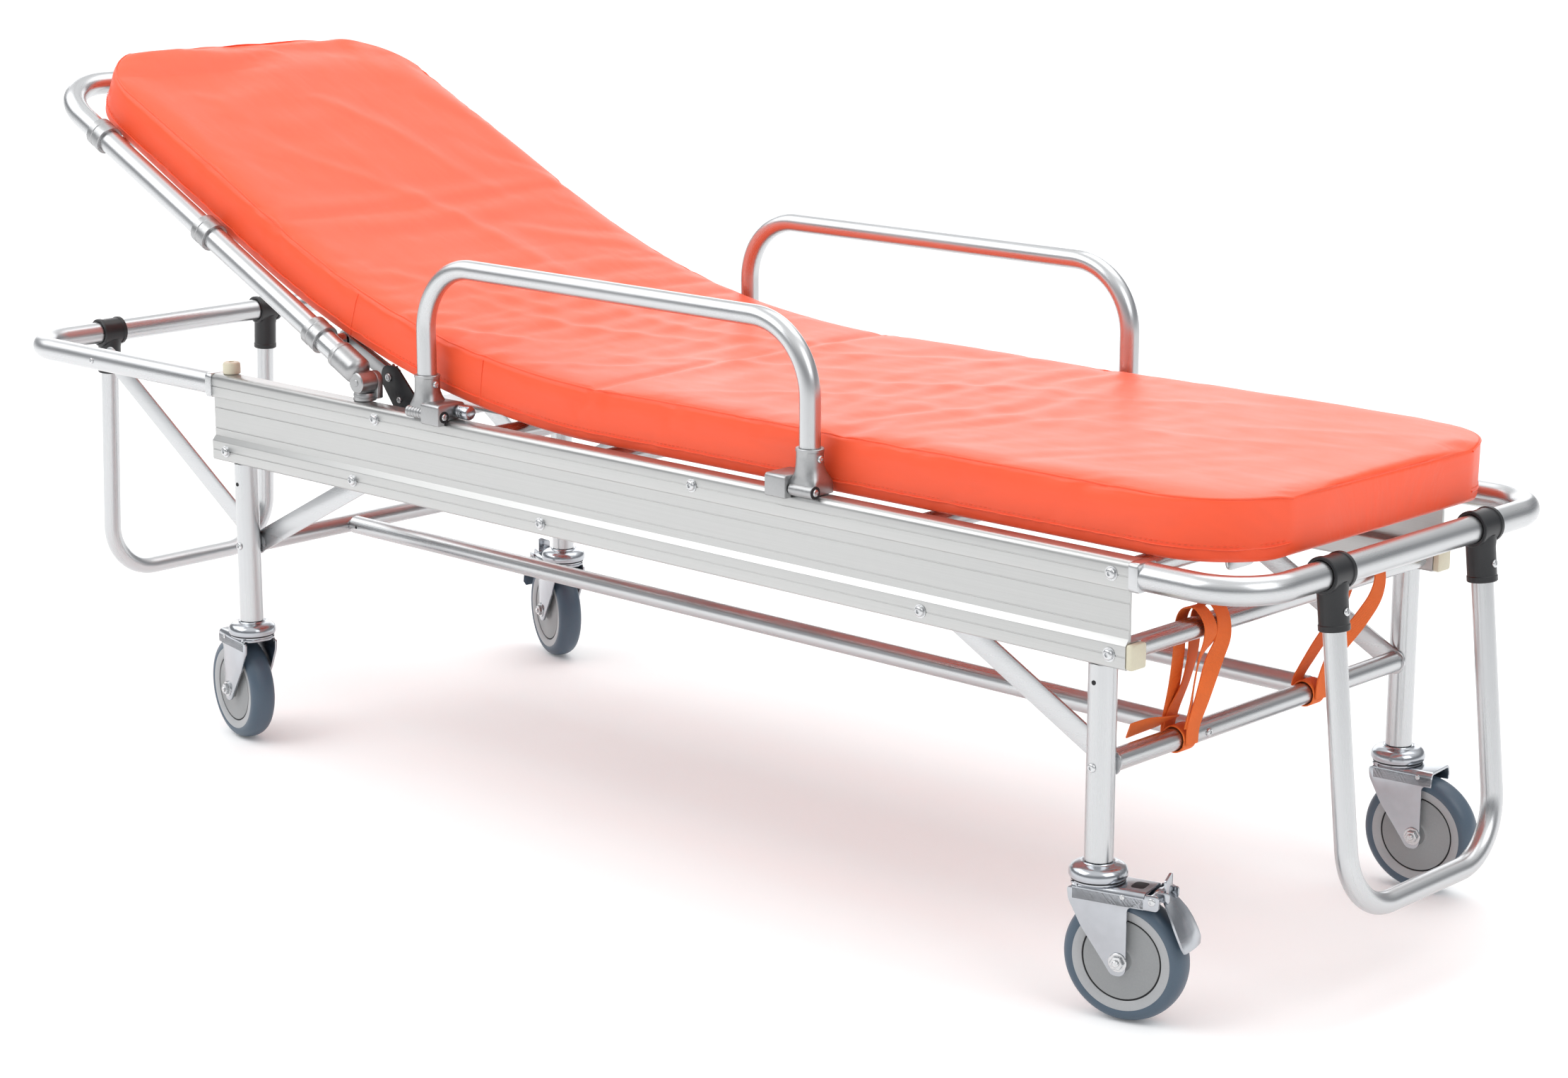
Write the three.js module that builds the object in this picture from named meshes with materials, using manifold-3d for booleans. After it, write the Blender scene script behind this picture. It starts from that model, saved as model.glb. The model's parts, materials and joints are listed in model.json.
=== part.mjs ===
// A low stretcher trolley: two extruded side rails on four castored legs, a lifting loop and a folding
// drop handle at each end, a folding guard on each side, a slatted deck, and a backrest that tilts on
// two hinges and is held by a ratchet. Millimetres, +X towards the foot end, +Y towards the patient's
// left, +Z up. The origin is on the floor under the middle of the trolley.
import * as THREE from "three";
import { mergeVertices } from "three/addons/utils/BufferGeometryUtils.js";
import Module from "manifold-3d";

const wasm = await Module();
wasm.setup();

// ---- Driving dimensions ----
const FRAME_RADIUS = 14; // legs, end loops and backrest frame: 28 mm tube
const CROSS_RADIUS = 11; // cross tubes, long tubes, handles and guards: 22 mm tube
const GAP = 0.3; // between pieces that touch
const RUNNING_GAP = 0.8; // between a pin or tube and what turns on it
const FRAME_SIDES = 14;
const CROSS_SIDES = 12;
const BEND_STEPS = 5;

const LEG_X = { head: -511, foot: 784 };
const LEG_Y = 257;
const LEG_BOTTOM = 153.3;
const LOWER_Z = 247; // lower cross tubes and long tubes
const LONG_TUBE_Y = 101;

const RAIL = { head: -555, foot: 820.5, bottom: 348, top: 452 };
const RAIL_TOP_BOX = { inner: 240, outer: 270, bottom: 424 };
const RAIL_WEB = { inner: 263.5, outer: 267 };
const RAIL_LOW_BOX = { inner: 248, outer: 272, top: 374 };
const UPPER_CROSS = { head: -529, foot: 802, z: 361 };

const LOOP_Z = 437.5;
const LOOP_X = { head: -963, foot: 946 };
const LOOP_BEND = 60;

const DECK = { head: -247, foot: 868, top: 450, thick: 3, slatWidth: 45 };
const SLAT_Y = [-163, -54.5, 54.5, 163];
const DECK_CROSS_X = [-246, -89, 91, 541, 801];
const DECK_CROSS_Z = DECK.top - DECK.thick - CROSS_RADIUS + 0.4;

const HINGE = { x: -284, z: 475.5 };
const BACK_ANGLE = THREE.MathUtils.degToRad(26.1);
const BACK_TUBE_Y = 258;
const BACK_TUBE_LIFT = 6; // the frame's plane lies this far above the hinge axis
const BACK_LENGTH = 660;
const BACK_BEND = 76;
const BACK_CLAMPS = [90, 315, 541]; // distances of the clamps and cross tubes from the hinge

const GUARD_X = { head: -170, foot: 413 };
const GUARD_Y = 260;
const GUARD_TOP = 624;
const GUARD_BEND = 76;
const GUARD_AXIS = { y: 272, z: 457 };

const HANDLE_Y = 128;
const HANDLE_DROP = 330;
const HANDLE_BEND = 66;
const HANDLE_LEAN = { head: 3, foot: 6.2 }; // degrees outward

const WHEEL_RADIUS = 62.5;
const WHEEL_HALF_WIDTH = 15.5;
const TRAIL = 31; // the wheel's axle lies this far behind the swivel axis
const FORK_TOP = 135;
const CHEEK = { inner: 18.5, outer: 21.5 };
const AXLE_RADIUS = 5;

const MATTRESS = { halfWidth: 239.4, thick: 63, head: -130, foot: 918, corner: 42, backLength: 642, backThick: 58 };
const STRAP = { width: 25, thick: 2.5, y: 126 };

// ---- Materials ----
function material(color, roughness, metalness) {
  return new THREE.MeshStandardMaterial({ color, roughness, metalness });
}

const aluminium = () => material(0xc9ccd0, 0.3, 0.9);
const casting = () => material(0xb4b6b6, 0.45, 0.8);
const plated = () => material(0xb9bcc0, 0.22, 1.0);
const blackPlastic = () => material(0x1b1d20, 0.5, 0.0);
const ivoryPlastic = () => material(0xe4dfcc, 0.5, 0.0);
const tyreRubber = () => material(0x5a6572, 0.6, 0.0);
const orangeFabric = () => material(0xf2512a, 0.55, 0.0);
const orangeWebbing = () => material(0xf06020, 0.75, 0.0);

// ---- Solids ----
function solidOf(geometry) {
  const bare = geometry.clone();
  bare.deleteAttribute("normal");
  bare.deleteAttribute("uv");
  const merged = mergeVertices(bare, 1e-3);
  return new wasm.Manifold(
    new wasm.Mesh({
      numProp: 3,
      vertProperties: merged.attributes.position.array,
      triVerts: new Uint32Array(merged.index.array),
    }),
  );
}

function geometryOf(body) {
  const mesh = body.getMesh();
  const made = new THREE.BufferGeometry();
  made.setAttribute("position", new THREE.BufferAttribute(mesh.vertProperties, 3));
  made.setIndex(new THREE.BufferAttribute(mesh.triVerts, 1));
  made.computeVertexNormals();
  return made;
}

function join(...geometries) {
  return geometryOf(geometries.map(solidOf).reduce((whole, next) => whole.add(next)));
}

function cut(geometry, ...tools) {
  return geometryOf(tools.map(solidOf).reduce((left, tool) => left.subtract(tool), solidOf(geometry)));
}

// A straight round bar between two points.
function rod(from, to, radius, sides = CROSS_SIDES) {
  const start = new THREE.Vector3(...from);
  const end = new THREE.Vector3(...to);
  const made = new THREE.CylinderGeometry(radius, radius, start.distanceTo(end), sides);
  const along = end.clone().sub(start).normalize();
  made.applyQuaternion(new THREE.Quaternion().setFromUnitVectors(new THREE.Vector3(0, 1, 0), along));
  const middle = start.add(end).multiplyScalar(0.5);
  return made.translate(middle.x, middle.y, middle.z);
}

// A rectangular block between its lowest and highest corners.
function block(low, high) {
  const made = new THREE.BoxGeometry(high[0] - low[0], high[1] - low[1], high[2] - low[2]);
  return made.translate((low[0] + high[0]) / 2, (low[1] + high[1]) / 2, (low[2] + high[2]) / 2);
}

// The round that replaces a corner: points and tangents along an arc of this radius.
function roundCorner(before, corner, after, radius, steps) {
  const into = corner.clone().sub(before).normalize();
  const out = after.clone().sub(corner).normalize();
  const turn = into.angleTo(out);
  if (radius === 0 || turn < 1e-3) return [{ point: corner.clone(), tangent: into.add(out).normalize() }];
  const start = corner.clone().addScaledVector(into, -radius * Math.tan(turn / 2));
  const inward = out.clone().addScaledVector(into, -Math.cos(turn)).divideScalar(Math.sin(turn));
  const stations = [];
  for (let step = 0; step <= steps; step += 1) {
    const angle = (turn * step) / steps;
    const point = start.clone().addScaledVector(into, radius * Math.sin(angle));
    point.addScaledVector(inward, radius * (1 - Math.cos(angle)));
    const tangent = into.clone().multiplyScalar(Math.cos(angle)).addScaledVector(inward, Math.sin(angle));
    stations.push({ point, tangent });
  }
  return stations;
}

// A route of straight runs joined by bends of one radius.
class BentRoute extends THREE.Curve {
  constructor(corners, bend, steps = BEND_STEPS) {
    super();
    const points = corners.map((corner) => new THREE.Vector3(...corner));
    const last = points.length - 1;
    const first = { point: points[0], tangent: points[1].clone().sub(points[0]).normalize() };
    const end = { point: points[last], tangent: points[last].clone().sub(points[last - 1]).normalize() };
    this.stations = [first];
    for (let i = 1; i < last; i += 1) {
      this.stations.push(...roundCorner(points[i - 1], points[i], points[i + 1], bend, steps));
    }
    this.stations.push(end);
    this.last = this.stations.length - 1;
  }

  getPointAt(u, target = new THREE.Vector3()) {
    return target.copy(this.stations[Math.round(u * this.last)].point);
  }

  getTangentAt(u, target = new THREE.Vector3()) {
    return target.copy(this.stations[Math.round(u * this.last)].tangent);
  }

  getSpacedPoints() {
    return this.stations.map((station) => station.point.clone());
  }
}

// A round tube, modelled solid, along a bent route.
function bentTube(corners, bend, radius, sides = CROSS_SIDES) {
  const route = new BentRoute(corners, bend);
  const circle = Array.from({ length: sides }, (_, i) => {
    const angle = (2 * Math.PI * (i + 0.5)) / sides;
    return new THREE.Vector2(radius * Math.cos(angle), radius * Math.sin(angle));
  });
  return new THREE.ExtrudeGeometry(new THREE.Shape(circle), { steps: route.last, extrudePath: route });
}

// A flat outline whose corners are [x, y, rounding radius].
function outline(corners, steps = 3) {
  const points = corners.map(([x, y]) => new THREE.Vector3(x, y, 0));
  const count = corners.length;
  const rounded = corners.flatMap(([, , radius = 0], i) =>
    roundCorner(points[(i + count - 1) % count], points[i], points[(i + 1) % count], radius, steps),
  );
  return new THREE.Shape(rounded.map(({ point }) => new THREE.Vector2(point.x, point.y)));
}

// An outline in X and Z, made solid between two values of Y.
function plateXZ(corners, lowY, highY, steps = 3) {
  const made = new THREE.ExtrudeGeometry(outline(corners, steps), { depth: highY - lowY, bevelEnabled: false });
  return made.rotateX(Math.PI / 2).translate(0, highY, 0);
}

// An outline in X and Y, made solid between two values of Z.
function plateXY(corners, lowZ, highZ, steps = 3) {
  const made = new THREE.ExtrudeGeometry(outline(corners, steps), { depth: highZ - lowZ, bevelEnabled: false });
  return made.translate(0, 0, lowZ);
}

// An outline in Y and Z, made solid between two values of X.
function plateYZ(corners, lowX, highX, steps = 3) {
  const made = new THREE.ExtrudeGeometry(outline(corners, steps), { depth: highX - lowX, bevelEnabled: false });
  const turn = new THREE.Matrix4().makeBasis(
    new THREE.Vector3(0, 1, 0),
    new THREE.Vector3(0, 0, 1),
    new THREE.Vector3(1, 0, 0),
  );
  return made.applyMatrix4(turn).translate(lowX, 0, 0);
}

// A turned shape about the Z axis, from a profile of [radius, z] points.
function turned(profile, sides = FRAME_SIDES) {
  const points = profile.map(([radius, z]) => new THREE.Vector2(radius, z));
  return new THREE.LatheGeometry(points, sides).rotateX(Math.PI / 2);
}

// ---- The scene graph ----
const trolley = new THREE.Group();

function add(group, name, geometry, finish) {
  const mesh = new THREE.Mesh(geometry, finish());
  mesh.name = name;
  group.add(mesh);
}

// Pieces of the right side are built once and mirrored for the left.
const sides = ["right", "left"].map((side) => {
  const group = new THREE.Group();
  group.scale.y = side === "right" ? 1 : -1;
  trolley.add(group);
  return { side, group };
});

function addToBothSides(name, geometry, finish) {
  for (const { side, group } of sides) add(group, `${name}_${side}`, geometry, finish);
}

// ---- Side rails ----
function railGeometry() {
  const { inner, outer, bottom } = RAIL_TOP_BOX;
  return plateYZ(
    [
      [-RAIL_LOW_BOX.outer, RAIL.bottom, 3],
      [-RAIL_LOW_BOX.inner, RAIL.bottom, 3],
      [-RAIL_LOW_BOX.inner, RAIL_LOW_BOX.top, 2],
      [-RAIL_WEB.inner, RAIL_LOW_BOX.top],
      [-RAIL_WEB.inner, bottom],
      [-inner, bottom, 2],
      [-inner, RAIL.top, 10],
      [-outer, RAIL.top, 7],
      [-outer, bottom, 2],
      [-RAIL_WEB.outer, bottom],
      [-RAIL_WEB.outer, RAIL_LOW_BOX.top],
      [-RAIL_LOW_BOX.outer, RAIL_LOW_BOX.top, 2],
    ],
    RAIL.head,
    RAIL.foot,
  );
}

addToBothSides("rail", railGeometry(), aluminium);

// ---- End loops: each is one bent tube whose ends carry a square collar against the rails ----
function loopGeometry(end) {
  const outward = end === "foot" ? 1 : -1;
  const start = RAIL[end] + outward * GAP;
  const far = LOOP_X[end];
  const collarLength = 11;
  const collarHalf = 14.5;
  const collar = (y) =>
    plateYZ(
      [
        [y - collarHalf, LOOP_Z - collarHalf, 5],
        [y + collarHalf, LOOP_Z - collarHalf, 5],
        [y + collarHalf, LOOP_Z + collarHalf, 5],
        [y - collarHalf, LOOP_Z + collarHalf, 5],
      ],
      Math.min(start, start + outward * collarLength),
      Math.max(start, start + outward * collarLength),
      2,
    );
  const route = [
    [start + outward, -LEG_Y, LOOP_Z],
    [far, -LEG_Y, LOOP_Z],
    [far, LEG_Y, LOOP_Z],
    [start + outward, LEG_Y, LOOP_Z],
  ];
  return join(bentTube(route, LOOP_BEND, FRAME_RADIUS, FRAME_SIDES), collar(-LEG_Y), collar(LEG_Y));
}

for (const end of ["head", "foot"]) add(trolley, `${end}_loop`, loopGeometry(end), aluminium);

// ---- Legs, cross tubes and long tubes ----
const BRACE_THICK = 3;
const BRACE_OUTER_Y = LEG_Y - FRAME_RADIUS - GAP;
const LOWER_CROSS_END = BRACE_OUTER_Y - BRACE_THICK - GAP;

for (const end of ["head", "foot"]) {
  const x = LEG_X[end];
  const leg = rod([x, -LEG_Y, LEG_BOTTOM], [x, -LEG_Y, RAIL.bottom - GAP], FRAME_RADIUS, FRAME_SIDES);
  addToBothSides(`${end}_leg`, leg, aluminium);
  const lower = rod([x, -LOWER_CROSS_END, LOWER_Z], [x, LOWER_CROSS_END, LOWER_Z], CROSS_RADIUS);
  add(trolley, `lower_cross_tube_${end}`, lower, aluminium);
  const reach = RAIL_LOW_BOX.inner - GAP;
  const upperX = UPPER_CROSS[end];
  const upper = rod([upperX, -reach, UPPER_CROSS.z], [upperX, reach, UPPER_CROSS.z], CROSS_RADIUS);
  add(trolley, `upper_cross_tube_${end}`, upper, aluminium);
}

const longTubeEnd = CROSS_RADIUS + GAP;
const longTube = rod(
  [LEG_X.head + longTubeEnd, -LONG_TUBE_Y, LOWER_Z],
  [LEG_X.foot - longTubeEnd, -LONG_TUBE_Y, LOWER_Z],
  CROSS_RADIUS,
);
addToBothSides("long_tube", longTube, aluminium);

// ---- Braces: flat bars that run to the leg, held there between the leg and the cross tube ----
const BRACE_HALF_WIDTH = 12.5;

function braceBar(from, to) {
  const start = new THREE.Vector2(...from);
  const end = new THREE.Vector2(...to);
  const along = end.clone().sub(start).setLength(BRACE_HALF_WIDTH);
  const across = new THREE.Vector2(-along.y, along.x);
  const corner = (base, forward, side) => {
    const at = base.clone().addScaledVector(along, forward).addScaledVector(across, side);
    return [at.x, at.y, BRACE_HALF_WIDTH * 0.8];
  };
  const corners = [corner(start, -1, -1), corner(end, 1, -1), corner(end, 1, 1), corner(start, -1, 1)];
  return plateXZ(corners, -BRACE_OUTER_Y, BRACE_THICK - BRACE_OUTER_Y);
}

// A round spacer between a brace's upper end and the rail's lower box.
function braceSpacer(x) {
  const from = [x, GAP - RAIL_LOW_BOX.inner, UPPER_CROSS.z];
  return rod(from, [x, 1 - BRACE_OUTER_Y, UPPER_CROSS.z], 9);
}

const headBrace = join(
  braceBar([-799, LOOP_Z], [LEG_X.head, LOWER_Z]),
  braceBar([-292, UPPER_CROSS.z], [LEG_X.head, LOWER_Z]),
  braceSpacer(-292),
);
addToBothSides("head_brace", headBrace, aluminium);
const footBrace = join(braceBar([571, UPPER_CROSS.z], [LEG_X.foot, LOWER_Z]), braceSpacer(571));
addToBothSides("foot_brace", footBrace, aluminium);

// ---- Seat deck: slats welded on cross tubes, their foot ends turned down ----
function deckGeometry() {
  const half = DECK.slatWidth / 2;
  const lip = 14;
  const slats = SLAT_Y.flatMap((y) => [
    plateXY(
      [
        [DECK.head - 12, y - half, 10],
        [DECK.foot, y - half],
        [DECK.foot, y + half],
        [DECK.head - 12, y + half, 10],
      ],
      DECK.top - DECK.thick,
      DECK.top,
    ),
    plateYZ(
      [
        [y - half, DECK.top - lip, 8],
        [y + half, DECK.top - lip, 8],
        [y + half, DECK.top],
        [y - half, DECK.top],
      ],
      DECK.foot - 0.5,
      DECK.foot + DECK.thick - 0.5,
    ),
  ]);
  const reach = RAIL_TOP_BOX.inner - GAP;
  const tubes = DECK_CROSS_X.map((x) => rod([x, -reach, DECK_CROSS_Z], [x, reach, DECK_CROSS_Z], CROSS_RADIUS));
  return join(...slats, ...tubes);
}

add(trolley, "seat_deck", deckGeometry(), aluminium);

// ---- Rest bumpers, on the rails under the lowered backrest ----
const bumper = turned([
  [0, RAIL.top + GAP],
  [10.5, RAIL.top + GAP],
  [10.5, RAIL.top + 12],
  [8.5, RAIL.top + 14.5],
  [0, RAIL.top + 14.5],
]).translate(-538, -252, 0);
addToBothSides("rest_bumper", bumper, ivoryPlastic);

// ---- Backrest hinge bases: a foot on the rail, a lug beside the knuckle and the pin through it ----
const PIN_RADIUS = 4;
const LUG = { outer: 246, inner: 238 };

function hingeBaseGeometry() {
  const foot = turned([
    [0, RAIL.top + GAP],
    [13, RAIL.top + GAP],
    [13, RAIL.top + 8],
    [11, RAIL.top + 10],
    [0, RAIL.top + 10],
  ]).translate(HINGE.x - 8, -250, 0);
  const lug = plateXZ(
    [
      [HINGE.x - 14, RAIL.top + 3],
      [HINGE.x + 10, RAIL.top + 3],
      [HINGE.x + 11, HINGE.z + 11, 10],
      [HINGE.x - 11, HINGE.z + 11, 10],
    ],
    -LUG.outer,
    -LUG.inner,
  );
  const pin = rod([HINGE.x, -LUG.inner - 2, HINGE.z], [HINGE.x, -271, HINGE.z], PIN_RADIUS);
  return join(foot, lug, pin);
}

addToBothSides("hinge_base", hingeBaseGeometry(), casting);

// ---- Backrest, built lying flat towards -X with the hinge axis at its origin ----
const backrest = new THREE.Group();
backrest.position.set(HINGE.x, 0, HINGE.z);
backrest.rotation.y = BACK_ANGLE;
trolley.add(backrest);

function backrestFrameGeometry() {
  const y = BACK_TUBE_Y;
  const tube = bentTube(
    [
      [-16, -y, BACK_TUBE_LIFT],
      [-BACK_LENGTH, -y, BACK_TUBE_LIFT],
      [-BACK_LENGTH, y, BACK_TUBE_LIFT],
      [-16, y, BACK_TUBE_LIFT],
    ],
    BACK_BEND,
    FRAME_RADIUS,
    FRAME_SIDES,
  );
  const fittings = [-y, y].flatMap((at) => {
    const clamps = BACK_CLAMPS.map((u) => {
      return rod([-u - 12, at, BACK_TUBE_LIFT], [-u + 12, at, BACK_TUBE_LIFT], FRAME_RADIUS + 4, FRAME_SIDES);
    });
    const sleeve = rod([-48, at, BACK_TUBE_LIFT], [-9, at, BACK_TUBE_LIFT], FRAME_RADIUS + 2.5, FRAME_SIDES);
    const inner = Math.sign(at) * (LUG.outer + RUNNING_GAP);
    const knuckle = rod([0, inner, 0], [0, Math.sign(at) * 270, 0], 12, FRAME_SIDES);
    return [...clamps, sleeve, knuckle];
  });
  const bores = [-1, 1].map((side) => {
    return rod([0, side * 240, 0], [0, side * 280, 0], PIN_RADIUS + RUNNING_GAP);
  });
  const lugPockets = [-1, 1].map((side) => {
    const near = side * (LUG.outer + RUNNING_GAP);
    const far = side * 230;
    return block([-22, Math.min(near, far), -22], [14, Math.max(near, far), 24]);
  });
  return cut(join(tube, ...fittings), ...bores, ...lugPockets);
}

add(backrest, "backrest_frame", backrestFrameGeometry(), aluminium);

const BACK_CROSS_RADIUS = 8;
const BACK_CROSS_LIFT = -6; // the cross tubes' height against the hinge axis
const BACK_SLAT_TOP = BACK_CROSS_LIFT + BACK_CROSS_RADIUS + DECK.thick - GAP;
const BACK_SLAT_END = 622;

function backrestDeckGeometry() {
  const half = 20;
  const reach = BACK_TUBE_Y - FRAME_RADIUS - 4 - GAP;
  const tubes = BACK_CLAMPS.map((u) => {
    return rod([-u, -reach, BACK_CROSS_LIFT], [-u, reach, BACK_CROSS_LIFT], BACK_CROSS_RADIUS);
  });
  const slats = SLAT_Y.map((y) =>
    plateXY(
      [
        [-BACK_SLAT_END, y - half, 8],
        [-40, y - half, 8],
        [-40, y + half, 8],
        [-BACK_SLAT_END, y + half, 8],
      ],
      BACK_SLAT_TOP - DECK.thick,
      BACK_SLAT_TOP,
    ),
  );
  return join(...tubes, ...slats);
}

add(backrest, "backrest_deck", backrestDeckGeometry(), aluminium);

// ---- Backrest ratchet, inside the right rail ----
// From the outside inwards: the black side plate, the first bar, the toothed wheel and pawl, the second bar.
const RATCHET = { plate: [-221, -218], firstBar: [-217.7, -215], wheel: [-215, -212.2], secondBar: [-212.2, -209.5] };
const RATCHET_PIN = 5;
const WHEEL_TEETH = 14;
const TOOTH_TIP = 15;
const PAWL_PIVOT = { x: 18, z: -24 }; // from the hinge axis
const PAWL_PIN = 3;

function ratchetArmGeometry() {
  const eyeX = -BACK_CLAMPS[0];
  const eyeZ = BACK_CROSS_LIFT;
  const halfBar = 7;
  const layers = [RATCHET.firstBar, RATCHET.secondBar].map(([low, high]) =>
    plateXZ(
      [
        [10, -9, 8],
        [10, 9, 8],
        [eyeX + 3, eyeZ + halfBar],
        [eyeX + 3, eyeZ - halfBar],
      ],
      low,
      high,
    ),
  );
  const [outer, inner] = [RATCHET.firstBar[0], RATCHET.secondBar[1]];
  const eye = rod([eyeX, outer, eyeZ], [eyeX, inner, eyeZ], 10.6, FRAME_SIDES);
  const pin = rod([0, RATCHET.plate[0], 0], [0, inner, 0], RATCHET_PIN);
  const teeth = Array.from({ length: 2 * WHEEL_TEETH }, (_, i) => {
    const radius = i % 2 ? TOOTH_TIP : TOOTH_TIP - 3;
    const angle = (Math.PI * i) / WHEEL_TEETH;
    return [radius * Math.cos(angle), radius * Math.sin(angle)];
  });
  const wheel = plateXZ(teeth, RATCHET.wheel[0] - 0.2, RATCHET.wheel[1] + 0.2);
  const tubeHole = rod([eyeX, outer - 1, eyeZ], [eyeX, inner + 1, eyeZ], BACK_CROSS_RADIUS + RUNNING_GAP);
  return cut(join(...layers, eye, pin, wheel), tubeHole);
}

add(backrest, "ratchet_arm", ratchetArmGeometry(), casting);

function ratchetPlateGeometry() {
  const tubeX = DECK_CROSS_X[0];
  const [low, high] = RATCHET.plate;
  const plate = plateXZ(
    [
      [HINGE.x - 14, HINGE.z - 6, 12],
      [tubeX - 14, DECK_CROSS_Z - 16, 12],
      [tubeX + 16, DECK_CROSS_Z - 16, 14],
      [tubeX + 16, DECK_CROSS_Z + 14, 14],
      [HINGE.x + 14, HINGE.z + 14, 12],
      [HINGE.x - 12, HINGE.z + 14, 12],
    ],
    low,
    high,
  );
  const pawlX = HINGE.x + PAWL_PIVOT.x;
  const pawlZ = HINGE.z + PAWL_PIVOT.z;
  const pawlPin = rod([pawlX, low + 1, pawlZ], [pawlX, RATCHET.wheel[1], pawlZ], PAWL_PIN);
  const hingeHole = rod([HINGE.x, low - 1, HINGE.z], [HINGE.x, high + 1, HINGE.z], RATCHET_PIN + RUNNING_GAP);
  const tubeHole = rod([tubeX, low - 1, DECK_CROSS_Z], [tubeX, high + 1, DECK_CROSS_Z], CROSS_RADIUS + 0.6);
  return cut(join(plate, pawlPin), hingeHole, tubeHole);
}

add(trolley, "ratchet_plate", ratchetPlateGeometry(), blackPlastic);

function ratchetPawlGeometry() {
  const x = HINGE.x + PAWL_PIVOT.x;
  const z = HINGE.z + PAWL_PIVOT.z;
  const pull = Math.hypot(PAWL_PIVOT.x, PAWL_PIVOT.z);
  const tipDistance = (TOOTH_TIP + 1) / pull;
  const tip = [HINGE.x + PAWL_PIVOT.x * tipDistance, HINGE.z + PAWL_PIVOT.z * tipDistance];
  const pawl = plateXZ(
    [
      [x - 6, z - 5, 4],
      [x + 6, z - 5, 4],
      [x + 6, z + 5, 4],
      [tip[0] + 2, tip[1] + 1],
      [tip[0] - 2, tip[1] - 1],
    ],
    RATCHET.wheel[0],
    RATCHET.wheel[1] - GAP,
  );
  const bore = rod([x, RATCHET.wheel[0] - 1, z], [x, RATCHET.wheel[1] + 1, z], PAWL_PIN + RUNNING_GAP);
  return cut(pawl, bore);
}

add(trolley, "ratchet_pawl", ratchetPawlGeometry(), plated);

// ---- Side guards ----
const SOCKET_TOP = 499;
const SOCKET_BOTTOM = RAIL.top + 0.6;
const BARREL_RADIUS = 6.5;
const BARREL = { head: [-189, -160], foot: [399, 431] };
const GUARD_BLOCK = { head: [-159.2, -129], foot: [369.5, 398.2] };
const PLUNGER_Y = 250;
const PLUNGER_Z = 461;

const guardTube = bentTube(
  [
    [GUARD_X.head, -GUARD_Y, SOCKET_BOTTOM + 20],
    [GUARD_X.head, -GUARD_Y, GUARD_TOP],
    [GUARD_X.foot, -GUARD_Y, GUARD_TOP],
    [GUARD_X.foot, -GUARD_Y, SOCKET_BOTTOM + 20],
  ],
  GUARD_BEND,
  CROSS_RADIUS,
);
addToBothSides("guard_tube", guardTube, aluminium);

function guardSocketGeometry(end) {
  const x = GUARD_X[end];
  const base = plateXY(
    [
      [x - 18, -GUARD_Y - 14, 4],
      [x + 18, -GUARD_Y - 14, 4],
      [x + 18, -GUARD_Y + 18, 8],
      [x - 18, -GUARD_Y + 18, 8],
    ],
    SOCKET_BOTTOM,
    470,
  );
  const neck = turned([
    [0, 460],
    [18, 460],
    [18, 468],
    [14.5, 483],
    [14.5, SOCKET_TOP],
    [0, SOCKET_TOP],
  ]).translate(x, -GUARD_Y, 0);
  const [start, stop] = BARREL[end];
  const { y, z } = GUARD_AXIS;
  const barrel = rod([start, -y, z], [stop, -y, z], BARREL_RADIUS);
  const tubeBore = rod(
    [x, -GUARD_Y, SOCKET_BOTTOM + 19],
    [x, -GUARD_Y, SOCKET_TOP + 1],
    CROSS_RADIUS + GAP + 0.2,
  );
  const pinBore = rod([start - 1, -y, z], [stop + 1, -y, z], PIN_RADIUS);
  const outboard = block([x - 40, -300, 440], [x + 40, -y - 2, SOCKET_TOP + 2]);
  const besideBlock = Math.sign(GUARD_BLOCK[end][0] - start);
  const faceX = besideBlock > 0 ? GUARD_BLOCK[end][0] - RUNNING_GAP : GUARD_BLOCK[end][1] + RUNNING_GAP;
  const blockRoom = block(
    [Math.min(faceX, faceX + besideBlock * 40), -300, 440],
    [Math.max(faceX, faceX + besideBlock * 40), -200, 476],
  );
  return cut(join(cut(join(base, neck), outboard), barrel), tubeBore, pinBore, blockRoom);
}

// A hinge block clamped on the rail's outer top edge, with the pin that carries the barrel beside it.
function guardBlockGeometry(end) {
  const [low, high] = GUARD_BLOCK[end];
  const body = plateYZ(
    [
      [-281, 447, 2],
      [-RAIL_TOP_BOX.outer - 2 * GAP, 447],
      [-RAIL_TOP_BOX.outer - 2 * GAP, RAIL.top + GAP],
      [-241, RAIL.top + GAP],
      [-241, 471, 3],
      [-281, 471, 3],
    ],
    low,
    high,
  );
  const [start, stop] = BARREL[end];
  const { y, z } = GUARD_AXIS;
  const pin = rod([Math.min(start + 1, low + 1), -y, z], [Math.max(stop - 1, low + 1), -y, z], PIN_RADIUS - RUNNING_GAP);
  if (end === "foot") return join(body, pin);
  const bore = rod([low - 1, -PLUNGER_Y, PLUNGER_Z], [high + 1, -PLUNGER_Y, PLUNGER_Z], 4.8);
  return cut(join(body, pin), bore);
}

// The spring plunger that locks a guard: a pull knob on a pin that slides in the head hinge block.
function guardPlungerGeometry() {
  const face = GUARD_BLOCK.head[1];
  const knob = rod([face + GAP, -PLUNGER_Y, PLUNGER_Z], [face + 20, -PLUNGER_Y, PLUNGER_Z], 8, FRAME_SIDES);
  const pin = rod([GUARD_BLOCK.head[0] + 2, -PLUNGER_Y, PLUNGER_Z], [face + 2, -PLUNGER_Y, PLUNGER_Z], 4);
  return join(knob, pin);
}

for (const end of ["head", "foot"]) {
  addToBothSides(`guard_socket_${end}`, guardSocketGeometry(end), casting);
  addToBothSides(`guard_block_${end}`, guardBlockGeometry(end), casting);
}
addToBothSides("guard_plunger", guardPlungerGeometry(), plated);

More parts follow.
